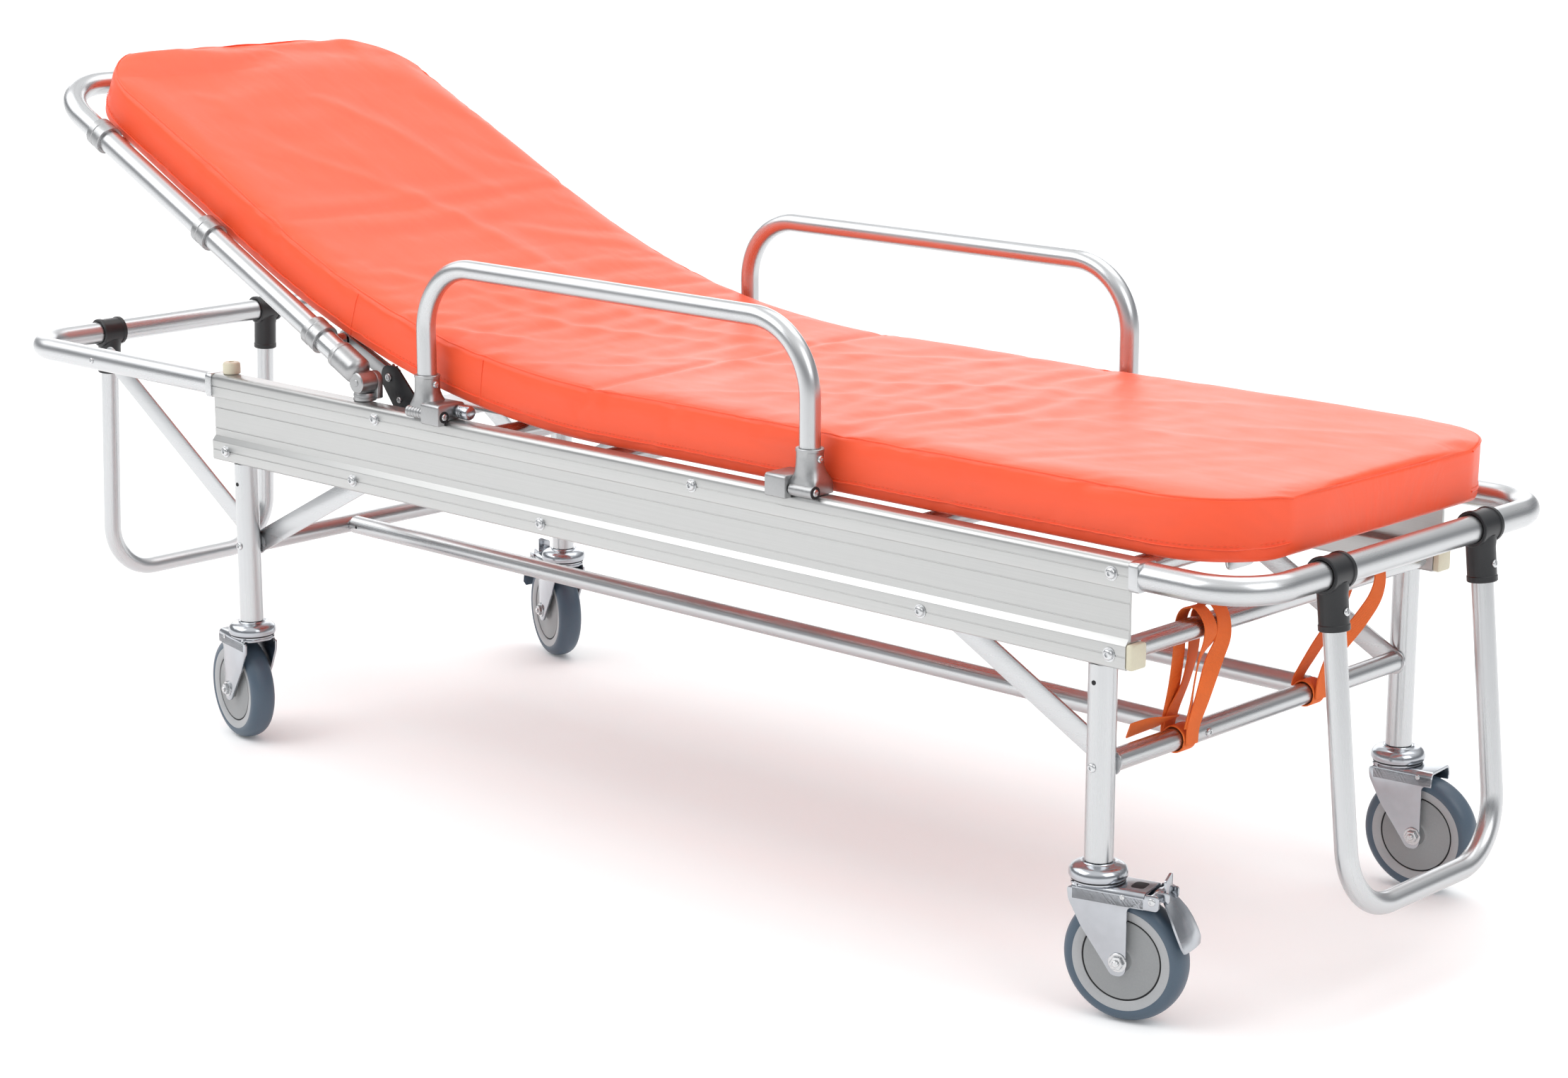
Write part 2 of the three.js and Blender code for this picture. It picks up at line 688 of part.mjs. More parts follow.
// ---- Drop handles, built hanging straight down from the loop's tube and leaned outward ----
const TEE_RADIUS = 18;
const TEE_HALF_LENGTH = 17;
const TEE_SOCKET_END = -54;
const TUBE_TOP = -21;

function handleTubeGeometry() {
  return bentTube(
    [
      [0, -HANDLE_Y, TUBE_TOP],
      [0, -HANDLE_Y, -HANDLE_DROP],
      [0, HANDLE_Y, -HANDLE_DROP],
      [0, HANDLE_Y, TUBE_TOP],
    ],
    HANDLE_BEND,
    CROSS_RADIUS,
  );
}

function teeGeometry(y) {
  const collar = rod([0, y - TEE_HALF_LENGTH, 0], [0, y + TEE_HALF_LENGTH, 0], TEE_RADIUS, FRAME_SIDES);
  const socket = rod([0, y, TEE_SOCKET_END], [0, y, -8], 15.2, FRAME_SIDES);
  const loopBore = rod([0, y - 30, 0], [0, y + 30, 0], FRAME_RADIUS + RUNNING_GAP + 0.2, FRAME_SIDES);
  const tubeBore = rod([0, y, TEE_SOCKET_END - 1], [0, y, TUBE_TOP + GAP], CROSS_RADIUS + 0.6);
  return cut(join(collar, socket), loopBore, tubeBore);
}

for (const end of ["head", "foot"]) {
  const handle = new THREE.Group();
  handle.position.set(LOOP_X[end], 0, LOOP_Z);
  handle.rotation.y = THREE.MathUtils.degToRad(end === "foot" ? -HANDLE_LEAN.foot : HANDLE_LEAN.head);
  trolley.add(handle);
  add(handle, `${end}_handle`, handleTubeGeometry(), aluminium);
  add(handle, `${end}_tee_right`, teeGeometry(-HANDLE_Y), blackPlastic);
  add(handle, `${end}_tee_left`, teeGeometry(HANDLE_Y), blackPlastic);
}

// ---- Casters, built with the swivel axis at the origin and the wheel trailing towards +X ----
// A wheel with a round tread, a raised rim ring, a flat hub disc and a bore for the axle.
function wheelGeometry() {
  const half = WHEEL_HALF_WIDTH;
  const treadSteps = 6;
  const tread = Array.from({ length: treadSteps + 1 }, (_, i) => {
    const angle = Math.PI * (i / treadSteps - 0.5);
    return [WHEEL_RADIUS - half + half * Math.cos(angle), half * Math.sin(angle)];
  });
  const bore = AXLE_RADIUS + RUNNING_GAP;
  const face = [
    [bore, 15],
    [12, 15],
    [15, 12],
    [40, 12],
  ];
  const profile = [...face.map(([radius, y]) => [radius, -y]), ...tread, ...face.reverse(), [bore, -15]];
  return turned(profile, 24).rotateX(Math.PI / 2).translate(TRAIL, 0, WHEEL_RADIUS);
}

const PEDAL_PIVOT = { x: 64, z: 128 };
const PEDAL_PIN = 3;

// A swivel fork: bearing cap, top plate, two cheeks and the axle. A braked fork's cheeks reach further
// back and carry the pedal's pin.
function forkGeometry(braked) {
  const reach = braked ? 71 : 50;
  const plateEnd = braked ? 56 : reach;
  const tip = WHEEL_RADIUS - 14;
  const cheek = [
    [-23, FORK_TOP, 3],
    [-21, 122],
    [-8, 92],
    [TRAIL - 15, WHEEL_RADIUS - 6, 8],
    [TRAIL - 8, tip, 8],
    [TRAIL + 8, tip, 8],
    [TRAIL + 8, 119, 6],
    [reach, 119, 5],
    [reach, FORK_TOP, 2],
  ];
  const top = [
    [-24, -CHEEK.outer, 8],
    [plateEnd, -CHEEK.outer],
    [plateEnd, CHEEK.outer],
    [-24, CHEEK.outer, 8],
  ];
  const cap = turned([
    [0, FORK_TOP - 1],
    [28.5, FORK_TOP - 1],
    [28.5, 142],
    [23, 149],
    [16, LEG_BOTTOM - GAP],
    [0, LEG_BOTTOM - GAP],
  ]);
  const nut = (y) => rod([TRAIL, y - 3, WHEEL_RADIUS], [TRAIL, y + 3, WHEEL_RADIUS], 9, 6);
  const { x, z } = PEDAL_PIVOT;
  const pedalPins = braked ? [rod([x, -CHEEK.outer, z], [x, CHEEK.outer, z], PEDAL_PIN)] : [];
  return join(
    plateXZ(cheek, -CHEEK.outer, -CHEEK.inner, 2),
    plateXZ(cheek, CHEEK.inner, CHEEK.outer, 2),
    plateXY(top, FORK_TOP - 3.5, FORK_TOP, 2),
    cap,
    rod([TRAIL, -CHEEK.outer - 5, WHEEL_RADIUS], [TRAIL, CHEEK.outer + 5, WHEEL_RADIUS], AXLE_RADIUS),
    nut(-CHEEK.outer - 2.5),
    nut(CHEEK.outer + 2.5),
    ...pedalPins,
  );
}

// A foot pedal that rocks on its pin: a tab to press, a toe plate and a barrel.
function pedalGeometry() {
  const { x, z } = PEDAL_PIVOT;
  const plate = plateXZ(
    [
      [x - 2, z + 1],
      [x + 8, z - 5, 5],
      [x + 19, z - 18, 8],
      [x + 28, z - 44],
      [x + 32, z - 44],
      [x + 23, z - 16, 8],
      [x + 12, z - 1, 5],
      [x + 14, z + 22],
      [x + 11, z + 22],
      [x + 6, z + 5, 4],
      [x - 2, z + 5],
    ],
    -13,
    13,
    2,
  );
  const barrel = rod([x, -17, z], [x, 17, z], 6);
  const bore = rod([x, -18, z], [x, 18, z], PEDAL_PIN + RUNNING_GAP);
  return cut(join(plate, barrel), bore);
}

const CASTERS = [
  { end: "foot", side: "right", heading: 14, brake: true },
  { end: "foot", side: "left", heading: 6, brake: false },
  { end: "head", side: "right", heading: 168, brake: false },
  { end: "head", side: "left", heading: 158, brake: true },
];

for (const { end, side, heading, brake } of CASTERS) {
  const caster = new THREE.Group();
  caster.position.set(LEG_X[end], side === "right" ? -LEG_Y : LEG_Y, 0);
  caster.rotation.z = THREE.MathUtils.degToRad(heading);
  trolley.add(caster);
  add(caster, `fork_${end}_${side}`, forkGeometry(brake), plated);
  add(caster, `wheel_${end}_${side}`, wheelGeometry(), tyreRubber);
  if (brake) add(caster, `brake_pedal_${end}_${side}`, pedalGeometry(), plated);
}

// ---- Mattress: a plain seat solid and a plain back solid ----
const seatPad = plateXY(
  [
    [MATTRESS.head, -MATTRESS.halfWidth],
    [MATTRESS.foot, -MATTRESS.halfWidth, MATTRESS.corner],
    [MATTRESS.foot, MATTRESS.halfWidth, MATTRESS.corner],
    [MATTRESS.head, MATTRESS.halfWidth],
  ],
  DECK.top + 2 * GAP,
  DECK.top + 2 * GAP + MATTRESS.thick,
);
add(trolley, "mattress_seat", seatPad, orangeFabric);

const backHalf = BACK_TUBE_Y - FRAME_RADIUS - 4 - 2;
const backPad = plateXY(
  [
    [-MATTRESS.backLength, -backHalf, 60],
    [-60, -backHalf],
    [-60, backHalf],
    [-MATTRESS.backLength, backHalf, 60],
  ],
  BACK_SLAT_TOP + GAP,
  BACK_SLAT_TOP + GAP + MATTRESS.backThick,
);
add(backrest, "mattress_back", backPad, orangeFabric);

// ---- Webbing straps, hanging between the foot-end cross tubes ----
const strapFace = CROSS_RADIUS + 0.6;
const strapBand = plateXZ(
  [
    [UPPER_CROSS.foot + strapFace, UPPER_CROSS.z + 10],
    [UPPER_CROSS.foot + strapFace, UPPER_CROSS.z],
    [LEG_X.foot + strapFace, LOWER_Z],
    [LEG_X.foot + strapFace, LOWER_Z - 12],
    [LEG_X.foot + strapFace + STRAP.thick, LOWER_Z - 12],
    [LEG_X.foot + strapFace + STRAP.thick, LOWER_Z],
    [UPPER_CROSS.foot + strapFace + STRAP.thick, UPPER_CROSS.z],
    [UPPER_CROSS.foot + strapFace + STRAP.thick, UPPER_CROSS.z + 10],
  ],
  -STRAP.y - STRAP.width / 2,
  -STRAP.y + STRAP.width / 2,
);
addToBothSides("strap", strapBand, orangeWebbing);

export default trolley;
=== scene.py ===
import json
import math

import bmesh
import bpy
import numpy as np
from mathutils import Matrix, Vector, noise
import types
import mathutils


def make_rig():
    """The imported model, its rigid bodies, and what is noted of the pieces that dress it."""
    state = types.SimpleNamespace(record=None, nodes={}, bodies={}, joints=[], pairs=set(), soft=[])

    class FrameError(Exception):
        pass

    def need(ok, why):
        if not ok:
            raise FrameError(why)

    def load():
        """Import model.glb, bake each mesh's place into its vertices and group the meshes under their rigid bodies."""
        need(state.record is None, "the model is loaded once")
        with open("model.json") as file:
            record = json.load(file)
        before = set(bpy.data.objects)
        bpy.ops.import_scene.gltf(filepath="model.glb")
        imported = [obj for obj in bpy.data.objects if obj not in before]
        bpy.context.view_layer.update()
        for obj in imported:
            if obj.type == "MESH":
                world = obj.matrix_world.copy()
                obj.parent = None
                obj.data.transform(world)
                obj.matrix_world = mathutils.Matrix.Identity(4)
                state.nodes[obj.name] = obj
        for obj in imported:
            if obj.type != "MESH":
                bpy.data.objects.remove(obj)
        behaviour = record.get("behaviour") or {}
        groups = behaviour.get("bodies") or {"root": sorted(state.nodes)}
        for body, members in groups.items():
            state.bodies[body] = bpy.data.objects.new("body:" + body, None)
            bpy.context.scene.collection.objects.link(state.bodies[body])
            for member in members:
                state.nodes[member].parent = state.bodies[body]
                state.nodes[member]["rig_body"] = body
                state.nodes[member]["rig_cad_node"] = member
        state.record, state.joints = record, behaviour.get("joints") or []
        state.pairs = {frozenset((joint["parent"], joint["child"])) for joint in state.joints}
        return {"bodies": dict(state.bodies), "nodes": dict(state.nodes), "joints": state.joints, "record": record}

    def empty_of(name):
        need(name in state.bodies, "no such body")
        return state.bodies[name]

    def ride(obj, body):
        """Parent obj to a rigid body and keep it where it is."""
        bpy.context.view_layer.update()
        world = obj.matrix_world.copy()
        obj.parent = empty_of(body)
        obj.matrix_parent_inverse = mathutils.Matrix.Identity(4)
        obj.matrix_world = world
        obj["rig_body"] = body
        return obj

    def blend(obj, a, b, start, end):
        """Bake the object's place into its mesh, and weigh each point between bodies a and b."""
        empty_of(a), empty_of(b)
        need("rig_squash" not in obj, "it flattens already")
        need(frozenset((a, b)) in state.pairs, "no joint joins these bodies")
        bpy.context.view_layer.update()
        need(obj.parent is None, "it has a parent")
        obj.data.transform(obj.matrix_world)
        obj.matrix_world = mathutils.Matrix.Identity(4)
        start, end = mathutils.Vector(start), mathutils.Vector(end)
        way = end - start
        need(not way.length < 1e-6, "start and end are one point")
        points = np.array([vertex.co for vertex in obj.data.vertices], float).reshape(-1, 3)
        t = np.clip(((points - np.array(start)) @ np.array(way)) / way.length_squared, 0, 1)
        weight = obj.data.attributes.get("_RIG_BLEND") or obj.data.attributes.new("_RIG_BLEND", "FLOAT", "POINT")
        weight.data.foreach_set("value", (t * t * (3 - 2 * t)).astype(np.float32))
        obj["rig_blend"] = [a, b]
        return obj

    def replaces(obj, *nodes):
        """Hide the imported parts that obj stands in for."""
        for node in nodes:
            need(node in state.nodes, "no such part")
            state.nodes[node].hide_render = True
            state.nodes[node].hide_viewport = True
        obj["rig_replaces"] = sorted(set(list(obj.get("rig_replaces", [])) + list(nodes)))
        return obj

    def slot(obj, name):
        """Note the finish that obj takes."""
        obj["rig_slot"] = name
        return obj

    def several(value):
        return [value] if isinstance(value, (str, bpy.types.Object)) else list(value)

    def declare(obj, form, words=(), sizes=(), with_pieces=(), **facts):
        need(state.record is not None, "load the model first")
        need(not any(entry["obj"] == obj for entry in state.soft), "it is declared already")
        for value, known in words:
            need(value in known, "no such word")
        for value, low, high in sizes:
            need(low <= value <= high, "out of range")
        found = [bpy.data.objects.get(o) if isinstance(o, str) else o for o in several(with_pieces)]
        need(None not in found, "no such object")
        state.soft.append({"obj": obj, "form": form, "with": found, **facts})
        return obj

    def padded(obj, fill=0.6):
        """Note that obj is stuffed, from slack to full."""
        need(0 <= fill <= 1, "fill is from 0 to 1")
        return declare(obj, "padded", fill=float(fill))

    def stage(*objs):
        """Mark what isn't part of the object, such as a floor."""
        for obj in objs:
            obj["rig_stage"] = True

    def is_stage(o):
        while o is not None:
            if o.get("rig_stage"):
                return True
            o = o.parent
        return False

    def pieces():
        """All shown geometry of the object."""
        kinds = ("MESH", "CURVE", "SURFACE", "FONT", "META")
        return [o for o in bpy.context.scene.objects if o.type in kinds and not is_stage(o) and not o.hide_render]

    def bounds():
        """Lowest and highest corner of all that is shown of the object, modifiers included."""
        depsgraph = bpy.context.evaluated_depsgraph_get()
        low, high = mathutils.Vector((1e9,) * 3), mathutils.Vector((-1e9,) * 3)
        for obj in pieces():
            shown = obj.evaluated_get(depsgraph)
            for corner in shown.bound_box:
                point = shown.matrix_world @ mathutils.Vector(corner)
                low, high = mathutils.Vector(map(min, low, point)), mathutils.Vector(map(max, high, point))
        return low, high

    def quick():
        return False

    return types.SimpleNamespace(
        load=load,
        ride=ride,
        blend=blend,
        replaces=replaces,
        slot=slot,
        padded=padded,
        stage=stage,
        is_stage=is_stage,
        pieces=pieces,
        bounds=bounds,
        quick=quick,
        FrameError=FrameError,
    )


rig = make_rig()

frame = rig.load()
cad_low, cad_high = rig.bounds()
MM = 0.001


def add_object(name, data):
    made = bpy.data.objects.new(name, data)
    bpy.context.scene.collection.objects.link(made)
    return made


# ---- Camera ----
camera = add_object("camera", bpy.data.cameras.new("camera"))
camera.location = (2.578, -2.596, 1.1645)
camera.rotation_euler = (math.radians(76.59), 0, math.radians(43.29))
camera.data.sensor_width = 36
camera.data.lens = 74.86
camera.data.clip_end = 200
bpy.context.scene.camera = camera

# ---- Dimensions shared with the frame ----
TUBE, CROSS = 14, 11
LEG_X, LEG_Y = {"head": -511, "foot": 784}, 257
LOWER_Z, UPPER_Z = 247, 361
UPPER_X = {"head": -529, "foot": 802}
LONG_TUBE_Y, BRACE_Y = 101, 242.7
BRACE_X = (-292, 571)
HEAD_BRACE_X = -799
RAIL = (-555, 820.5)
LOOP_X, LOOP_Z = {"head": -963, "foot": 946}, 437.5
HINGE, BACK_ANGLE = Vector((-284, 0, 475.5)), math.radians(26.1)
CLAMPS = (90, 315, 541)
BACK_Y, BACK_LIFT = 258, 6
GUARD_X, GUARD_Y = {"head": -170, "foot": 413}, 260
AXIS_Y, AXIS_Z = 272, 457
PLUNGER_Y, PLUNGER_Z = 250, 461
HANDLE_Y = 128
TRAIL, WHEEL = 31, 62.5
PIVOT = (64, 128)
SLATS = (-163, -54.5, 54.5, 163)
BACKREST = Matrix.Translation(HINGE) @ Matrix.Rotation(BACK_ANGLE, 4, "Y")
SIDES = (("right", 1), ("left", -1))


# ---- Materials ----
def add_node(tree, kind, sockets=None, **settings):
    """A new shader node. A socket is given a value, or the output that feeds it."""
    made = tree.nodes.new("ShaderNode" + kind)
    for key, value in settings.items():
        setattr(made, key, value)
    for key, value in (sockets or {}).items():
        if isinstance(value, bpy.types.NodeSocket):
            tree.links.new(value, made.inputs[key])
        else:
            made.inputs[key].default_value = value
    return made


def material(name, colour, roughness, metallic=0.0, grain=(60, 60, 60), vary=0.05, spread=0.05, bump=0.1, depth=0.05,
             broad=4.0, specular=0.5):
    """A finish whose colour, roughness and relief vary with a fine grain that follows the piece, and a broad one."""
    made = bpy.data.materials.new(name)
    made.use_nodes = True
    tree = made.node_tree
    shader = tree.nodes["Principled BSDF"]
    shader.inputs["Metallic"].default_value = metallic
    shader.inputs["Specular IOR Level"].default_value = specular
    flow = add_node(tree, "Attribute", attribute_name="flow").outputs["Vector"]
    scaled = add_node(tree, "Mapping", {"Vector": flow, "Scale": grain}).outputs["Vector"]
    fine = add_node(tree, "TexNoise", {"Vector": scaled, "Scale": 10, "Detail": 4}).outputs["Fac"]
    wide = add_node(tree, "TexNoise", {"Vector": flow, "Scale": broad, "Detail": 3}).outputs["Fac"]
    both = add_node(tree, "Math", {0: fine, 1: wide}, operation="ADD").outputs[0]
    usual = {"Value": both, "From Min": 0.6, "From Max": 1.4}
    tint = add_node(tree, "MapRange", usual).outputs["Result"]
    dark, light = [(*[min(1, c * share) for c in colour], 1) for share in (1 - vary, 1 + vary)]
    mix = add_node(tree, "Mix", {"Factor": tint, 6: dark, 7: light}, data_type="RGBA")
    tree.links.new(mix.outputs[2], shader.inputs["Base Color"])
    rough = add_node(tree, "MapRange", {**usual, "To Min": roughness - spread, "To Max": roughness + spread})
    tree.links.new(rough.outputs["Result"], shader.inputs["Roughness"])
    relief = add_node(tree, "Bump", {"Height": fine, "Strength": bump, "Distance": depth * MM})
    tree.links.new(relief.outputs["Normal"], shader.inputs["Normal"])
    return made


def weave(made, pitch_across, pitch_along, depth, strength):
    """Adds a plain weave's relief, with its threads at these spacings in millimetres."""
    tree = made.node_tree
    relief = next(n for n in tree.nodes if n.type == "BUMP")
    flow = next(n for n in tree.nodes if n.type == "ATTRIBUTE")
    split = add_node(tree, "SeparateXYZ", {"Vector": flow.outputs["Vector"]})
    waves = []
    for axis, pitch in (("X", pitch_along), ("Y", pitch_across)):
        turn = add_node(tree, "Math", {0: split.outputs[axis], 1: 2 * math.pi / (pitch * MM)}, operation="MULTIPLY")
        waves.append(add_node(tree, "Math", {0: turn.outputs[0]}, operation="SINE").outputs[0])
    product = add_node(tree, "Math", {0: waves[0], 1: waves[1]}, operation="MULTIPLY")
    woven = add_node(tree, "Bump", {"Height": product.outputs[0], "Normal": relief.outputs["Normal"],
                                    "Strength": strength, "Distance": depth * MM})
    tree.links.new(woven.outputs["Normal"], tree.nodes["Principled BSDF"].inputs["Normal"])


TUBE_METAL = material("satin_tube", (0.56, 0.57, 0.58), 0.29, 1.0, (0.6, 45, 45), 0.05, 0.06, 0.12, 0.04)
RAIL_METAL = material("brushed_rail", (0.52, 0.525, 0.52), 0.36, 1.0, (0.5, 60, 60), 0.07, 0.08, 0.2, 0.05)
CAST_METAL = material("tumbled_casting", (0.40, 0.405, 0.41), 0.38, 1.0, (40, 40, 40), 0.08, 0.08, 0.25, 0.08, 20)
PLATED = material("bright_plating", (0.46, 0.48, 0.51), 0.18, 1.0, (12, 12, 12), 0.06, 0.07, 0.08, 0.05, 15)
BOLT_METAL = material("bolt_plating", (0.62, 0.63, 0.64), 0.28, 1.0, (40, 40, 40), 0.08, 0.06, 0.1, 0.04, 30)
BLACK = material("black_moulding", (0.012, 0.013, 0.015), 0.38, 0.0, (90, 90, 90), 0.3, 0.06, 0.25, 0.06, 12)
IVORY = material("ivory_moulding", (0.64, 0.60, 0.46), 0.42, 0.0, (60, 60, 60), 0.04, 0.05, 0.15, 0.05, 15)
HUB = material("grey_hub", (0.29, 0.30, 0.305), 0.36, 0.0, (60, 60, 60), 0.06, 0.06, 0.15, 0.05, 20)
RIM = material("light_grey_rim", (0.40, 0.41, 0.42), 0.4, 0.0, (60, 60, 60), 0.05, 0.06, 0.15, 0.05, 20)
RUBBER = material("blue_grey_rubber", (0.07, 0.105, 0.145), 0.4, 0.0, (80, 80, 80), 0.08, 0.06, 0.3, 0.06, 14)
# Near-black painted shade, laid in bores, drilled holes, grooves and recesses where only shade falls.
DARK = material("shadowed_bore", (0.01, 0.01, 0.012), 0.7, 0.0, (40, 40, 40), 0.3, 0.05, 0.1, 0.05, 20)
COVER = material("coated_cover", (0.93, 0.097, 0.031), 0.37, 0.0, (1.6, 5.5, 4), 0.04, 0.06, 0.45, 1.4, 5, 0.45)
weave(COVER, 0.9, 0.9, 0.08, 0.35)
THREAD = material("cover_thread", (0.80, 0.10, 0.03), 0.6, 0.0, (300, 300, 300), 0.2, 0.05, 0.3, 0.05, 60)
WEBBING = material("ribbed_webbing", (0.86, 0.16, 0.02), 0.62, 0.0, (80, 80, 80), 0.12, 0.06, 0.4, 0.1, 25)
weave(WEBBING, 2.4, 1.2, 0.25, 0.8)


# Materials, body and slot of the commonest pieces
FRAME_TUBE = ([TUBE_METAL], "frame", "tube_aluminium")
BACKREST_CAST = ([CAST_METAL], "backrest", "die_casting")


# ---- Shapes ----
def rounded(corners, steps=4):
    """A closed outline whose corners are (x, y, radius), as points."""
    made, places = [], [Vector(corner[:2]) for corner in corners]
    for i, corner in enumerate(corners):
        radius = corner[2] if len(corner) > 2 else 0
        made += [p for p, _ in arc(places[i - 1], places[i], places[(i + 1) % len(places)], radius, steps)]
    return made


def arc(before, corner, after, radius, steps):
    """Points and directions along the arc that replaces a corner."""
    into, out = (corner - before).normalized(), (after - corner).normalized()
    turn = into.angle(out, 0)
    if radius == 0 or turn < 1e-3:
        return [(corner.copy(), (into + out).normalized())]
    start = corner - into * radius * math.tan(turn / 2)
    inward = (out - into * math.cos(turn)) / math.sin(turn)
    made = []
    for k in range(steps + 1):
        a = turn * k / steps
        point = start + into * radius * math.sin(a) + inward * radius * (1 - math.cos(a))
        made.append((point, into * math.cos(a) + inward * math.sin(a)))
    return made


def across(axis):
    """Two unit vectors square to an axis."""
    axis = Vector(axis).normalized()
    first = axis.cross(Vector((0, 0, 1)) if abs(axis.z) < 0.9 else Vector((1, 0, 0))).normalized()
    return axis, first, axis.cross(first)


def circle(sides):
    """The cosine and sine of angles evenly all the way round."""
    return [(math.cos(2 * math.pi * k / sides), math.sin(2 * math.pi * k / sides)) for k in range(sides)]


def write_flow(mesh, flow):
    """Stores each point's place along the grain, in metres, for the materials."""
    made = mesh.attributes.new("flow", "FLOAT_VECTOR", "POINT")
    made.data.foreach_set("vector", np.array([p * MM for p in flow], np.float32).ravel())


def face_outward(mesh, merge=False):
    """Turns the faces outward, after joining points that meet if asked."""
    tidy = bmesh.new()
    tidy.from_mesh(mesh)
    if merge:
        bmesh.ops.remove_doubles(tidy, verts=tidy.verts, dist=2e-6)
    bmesh.ops.recalc_face_normals(tidy, faces=tidy.faces)
    tidy.to_mesh(mesh)
    tidy.free()


class Shape:
    """Surfaces gathered in millimetres, then made into one mesh. Flow is each point's place along the grain."""

    def __init__(self):
        self.points, self.flow, self.faces, self.paint = [], [], [], []

    def rings(self, rings, paint=0, flow=None, caps=True, closed=True):
        base, n = len(self.points), len(rings[0])
        self.points += [Vector(p) for ring in rings for p in ring]
        self.flow += [Vector(p) for ring in flow or rings for p in ring]
        for i in range(len(rings) - 1):
            for j in range(n if closed else n - 1):
                a, b = base + i * n + j, base + i * n + (j + 1) % n
                self.faces.append((a, b, b + n, a + n))
                self.paint.append(paint)
        if caps:
            last = base + (len(rings) - 1) * n
            self.faces += [tuple(range(base, base + n)), tuple(range(last, last + n))]
            self.paint += [paint, paint]
        return self

    def turned(self, profile, origin=(0, 0, 0), axis=(0, 0, 1), sides=40, paint=0, hoop=False):
        """A turned shape from (radius, height) points about an axis. A hoop's profile closes on itself."""
        axis, u, v = across(axis)
        origin = Vector(origin)
        rings = []
        for radius, height in profile:
            radius = max(radius, 0.01)
            rings.append([origin + axis * height + (u * a + v * b) * radius for a, b in circle(sides)])
        if hoop:
            rings.append(rings[0])
        return self.rings(rings, paint, caps=not hoop)

    def rod(self, start, end, radius, sides=32, chamfer=0.6, paint=0):
        start, end = Vector(start), Vector(end)
        length = (end - start).length
        c = min(chamfer, radius * 0.5, length * 0.4)
        profile = [(radius - c, 0), (radius, c), (radius, length - c), (radius - c, length)]
        axis, u, v = across(end - start)
        rings, flow = [], []
        for r, h in profile:
            rings.append([start + axis * h + (u * a + v * b) * r for a, b in circle(sides)])
            flow.append([Vector((h + start.x, r * a + start.y, r * b)) for a, b in circle(sides)])
        return self.rings(rings, paint, flow)

    def bent(self, corners, bend, radius, sides=40, steps=14, paint=0, chamfer=0.8):
        """A round tube along straight runs joined by bends, all in one plane."""
        corners = [Vector(c) for c in corners]
        stations = [(corners[0], (corners[1] - corners[0]).normalized())]
        for i in range(1, len(corners) - 1):
            stations += arc(corners[i - 1], corners[i], corners[i + 1], bend, steps)
        stations.append((corners[-1], (corners[-1] - corners[-2]).normalized()))
        normal = (corners[1] - corners[0]).cross(corners[2] - corners[1]).normalized()
        first, last = stations[0], stations[-1]
        stations.insert(1, (first[0] + first[1] * chamfer, first[1]))
        stations.insert(-1, (last[0] - last[1] * chamfer, last[1]))
        sizes = [radius - chamfer] + [radius] * (len(stations) - 2) + [radius - chamfer]
        rings, flow, run, previous = [], [], 0.0, first[0]
        for (point, direction), r in zip(stations, sizes):
            run += (point - previous).length
            previous = point
            side = direction.cross(normal)
            rings.append([point + (normal * a + side * b) * r for a, b in circle(sides)])
            flow.append([Vector((run, r * a, r * b)) for a, b in circle(sides)])
        return self.rings(rings, paint, flow)

    def plate(self, corners, plane, low, high, edge=0.5, steps=5, paint=0):
        """A rounded outline made solid between two values, its rims softened."""
        outline = rounded(corners, steps)
        area = sum(a.x * b.y - b.x * a.y for a, b in zip(outline, outline[1:] + outline[:1]))
        if area < 0:
            outline.reverse()
        count, inset = len(outline), []
        for i, at in enumerate(outline):
            into, out = (at - outline[i - 1]).normalized(), (outline[(i + 1) % count] - at).normalized()
            middle = Vector((-into.y - out.y, into.x + out.x))
            middle = middle.normalized() if middle.length > 1e-6 else Vector((-into.y, into.x))
            lean = max(0.5, middle.dot(Vector((-into.y, into.x))))
            inset.append(at + middle * edge / lean)
        place = {
            "xz": lambda p, t: (p.x, t, p.y),
            "xy": lambda p, t: (p.x, p.y, t),
            "yz": lambda p, t: (t, p.x, p.y),
        }[plane]
        half = [(a + b) / 2 + (a - b) * 0.2 for a, b in zip(outline, inset)]
        layers = [(inset, low), (half, low + edge * 0.3), (outline, low + edge), (outline, high - edge),
                  (half, high - edge * 0.3), (inset, high)]
        return self.rings([[place(p, t) for p in ring] for ring, t in layers], paint)

    def pan_head(self, at, axis, radius=6, height=3.6, paint=0, washer=0.0):
        """A domed bolt head with a recess, on a thin washer where one is given."""
        profile = [(0, 0), (radius, 0), (radius, height * 0.35)]
        profile += [(radius * (0.42 + 0.58 * a), height * (0.35 + 0.65 * b)) for a, b in circle(24)[1:6]]
        profile += [(radius * 0.4, height), (radius * 0.34, height * 0.55), (0, height * 0.5)]
        if washer:
            self.turned([(0, -0.1), (washer, -0.1), (washer, 1.0), (0, 1.0)], at, axis, 32, paint)
            at = Vector(at) + Vector(axis).normalized()
        return self.turned(profile, at, axis, 28, paint)

    def hex_nut(self, at, axis, flats=13, height=6, bolt=4, paint=0):
        """A hexagon nut with the bolt's end standing out of it."""
        axis, u, v = across(axis)
        at, reach = Vector(at), flats / math.sqrt(3)
        layers = ((reach * 0.93, 0), (reach, height * 0.15), (reach, height * 0.8), (reach * 0.9, height))
        self.rings([[at + axis * h + (u * a + v * b) * r for a, b in circle(6)] for r, h in layers], paint)
        end = height + 2.2
        profile = [(0, height - 0.5), (bolt, height - 0.5), (bolt, end - 0.7), (bolt - 0.7, end), (0, end)]
        return self.turned(profile, at, axis, 24, paint)

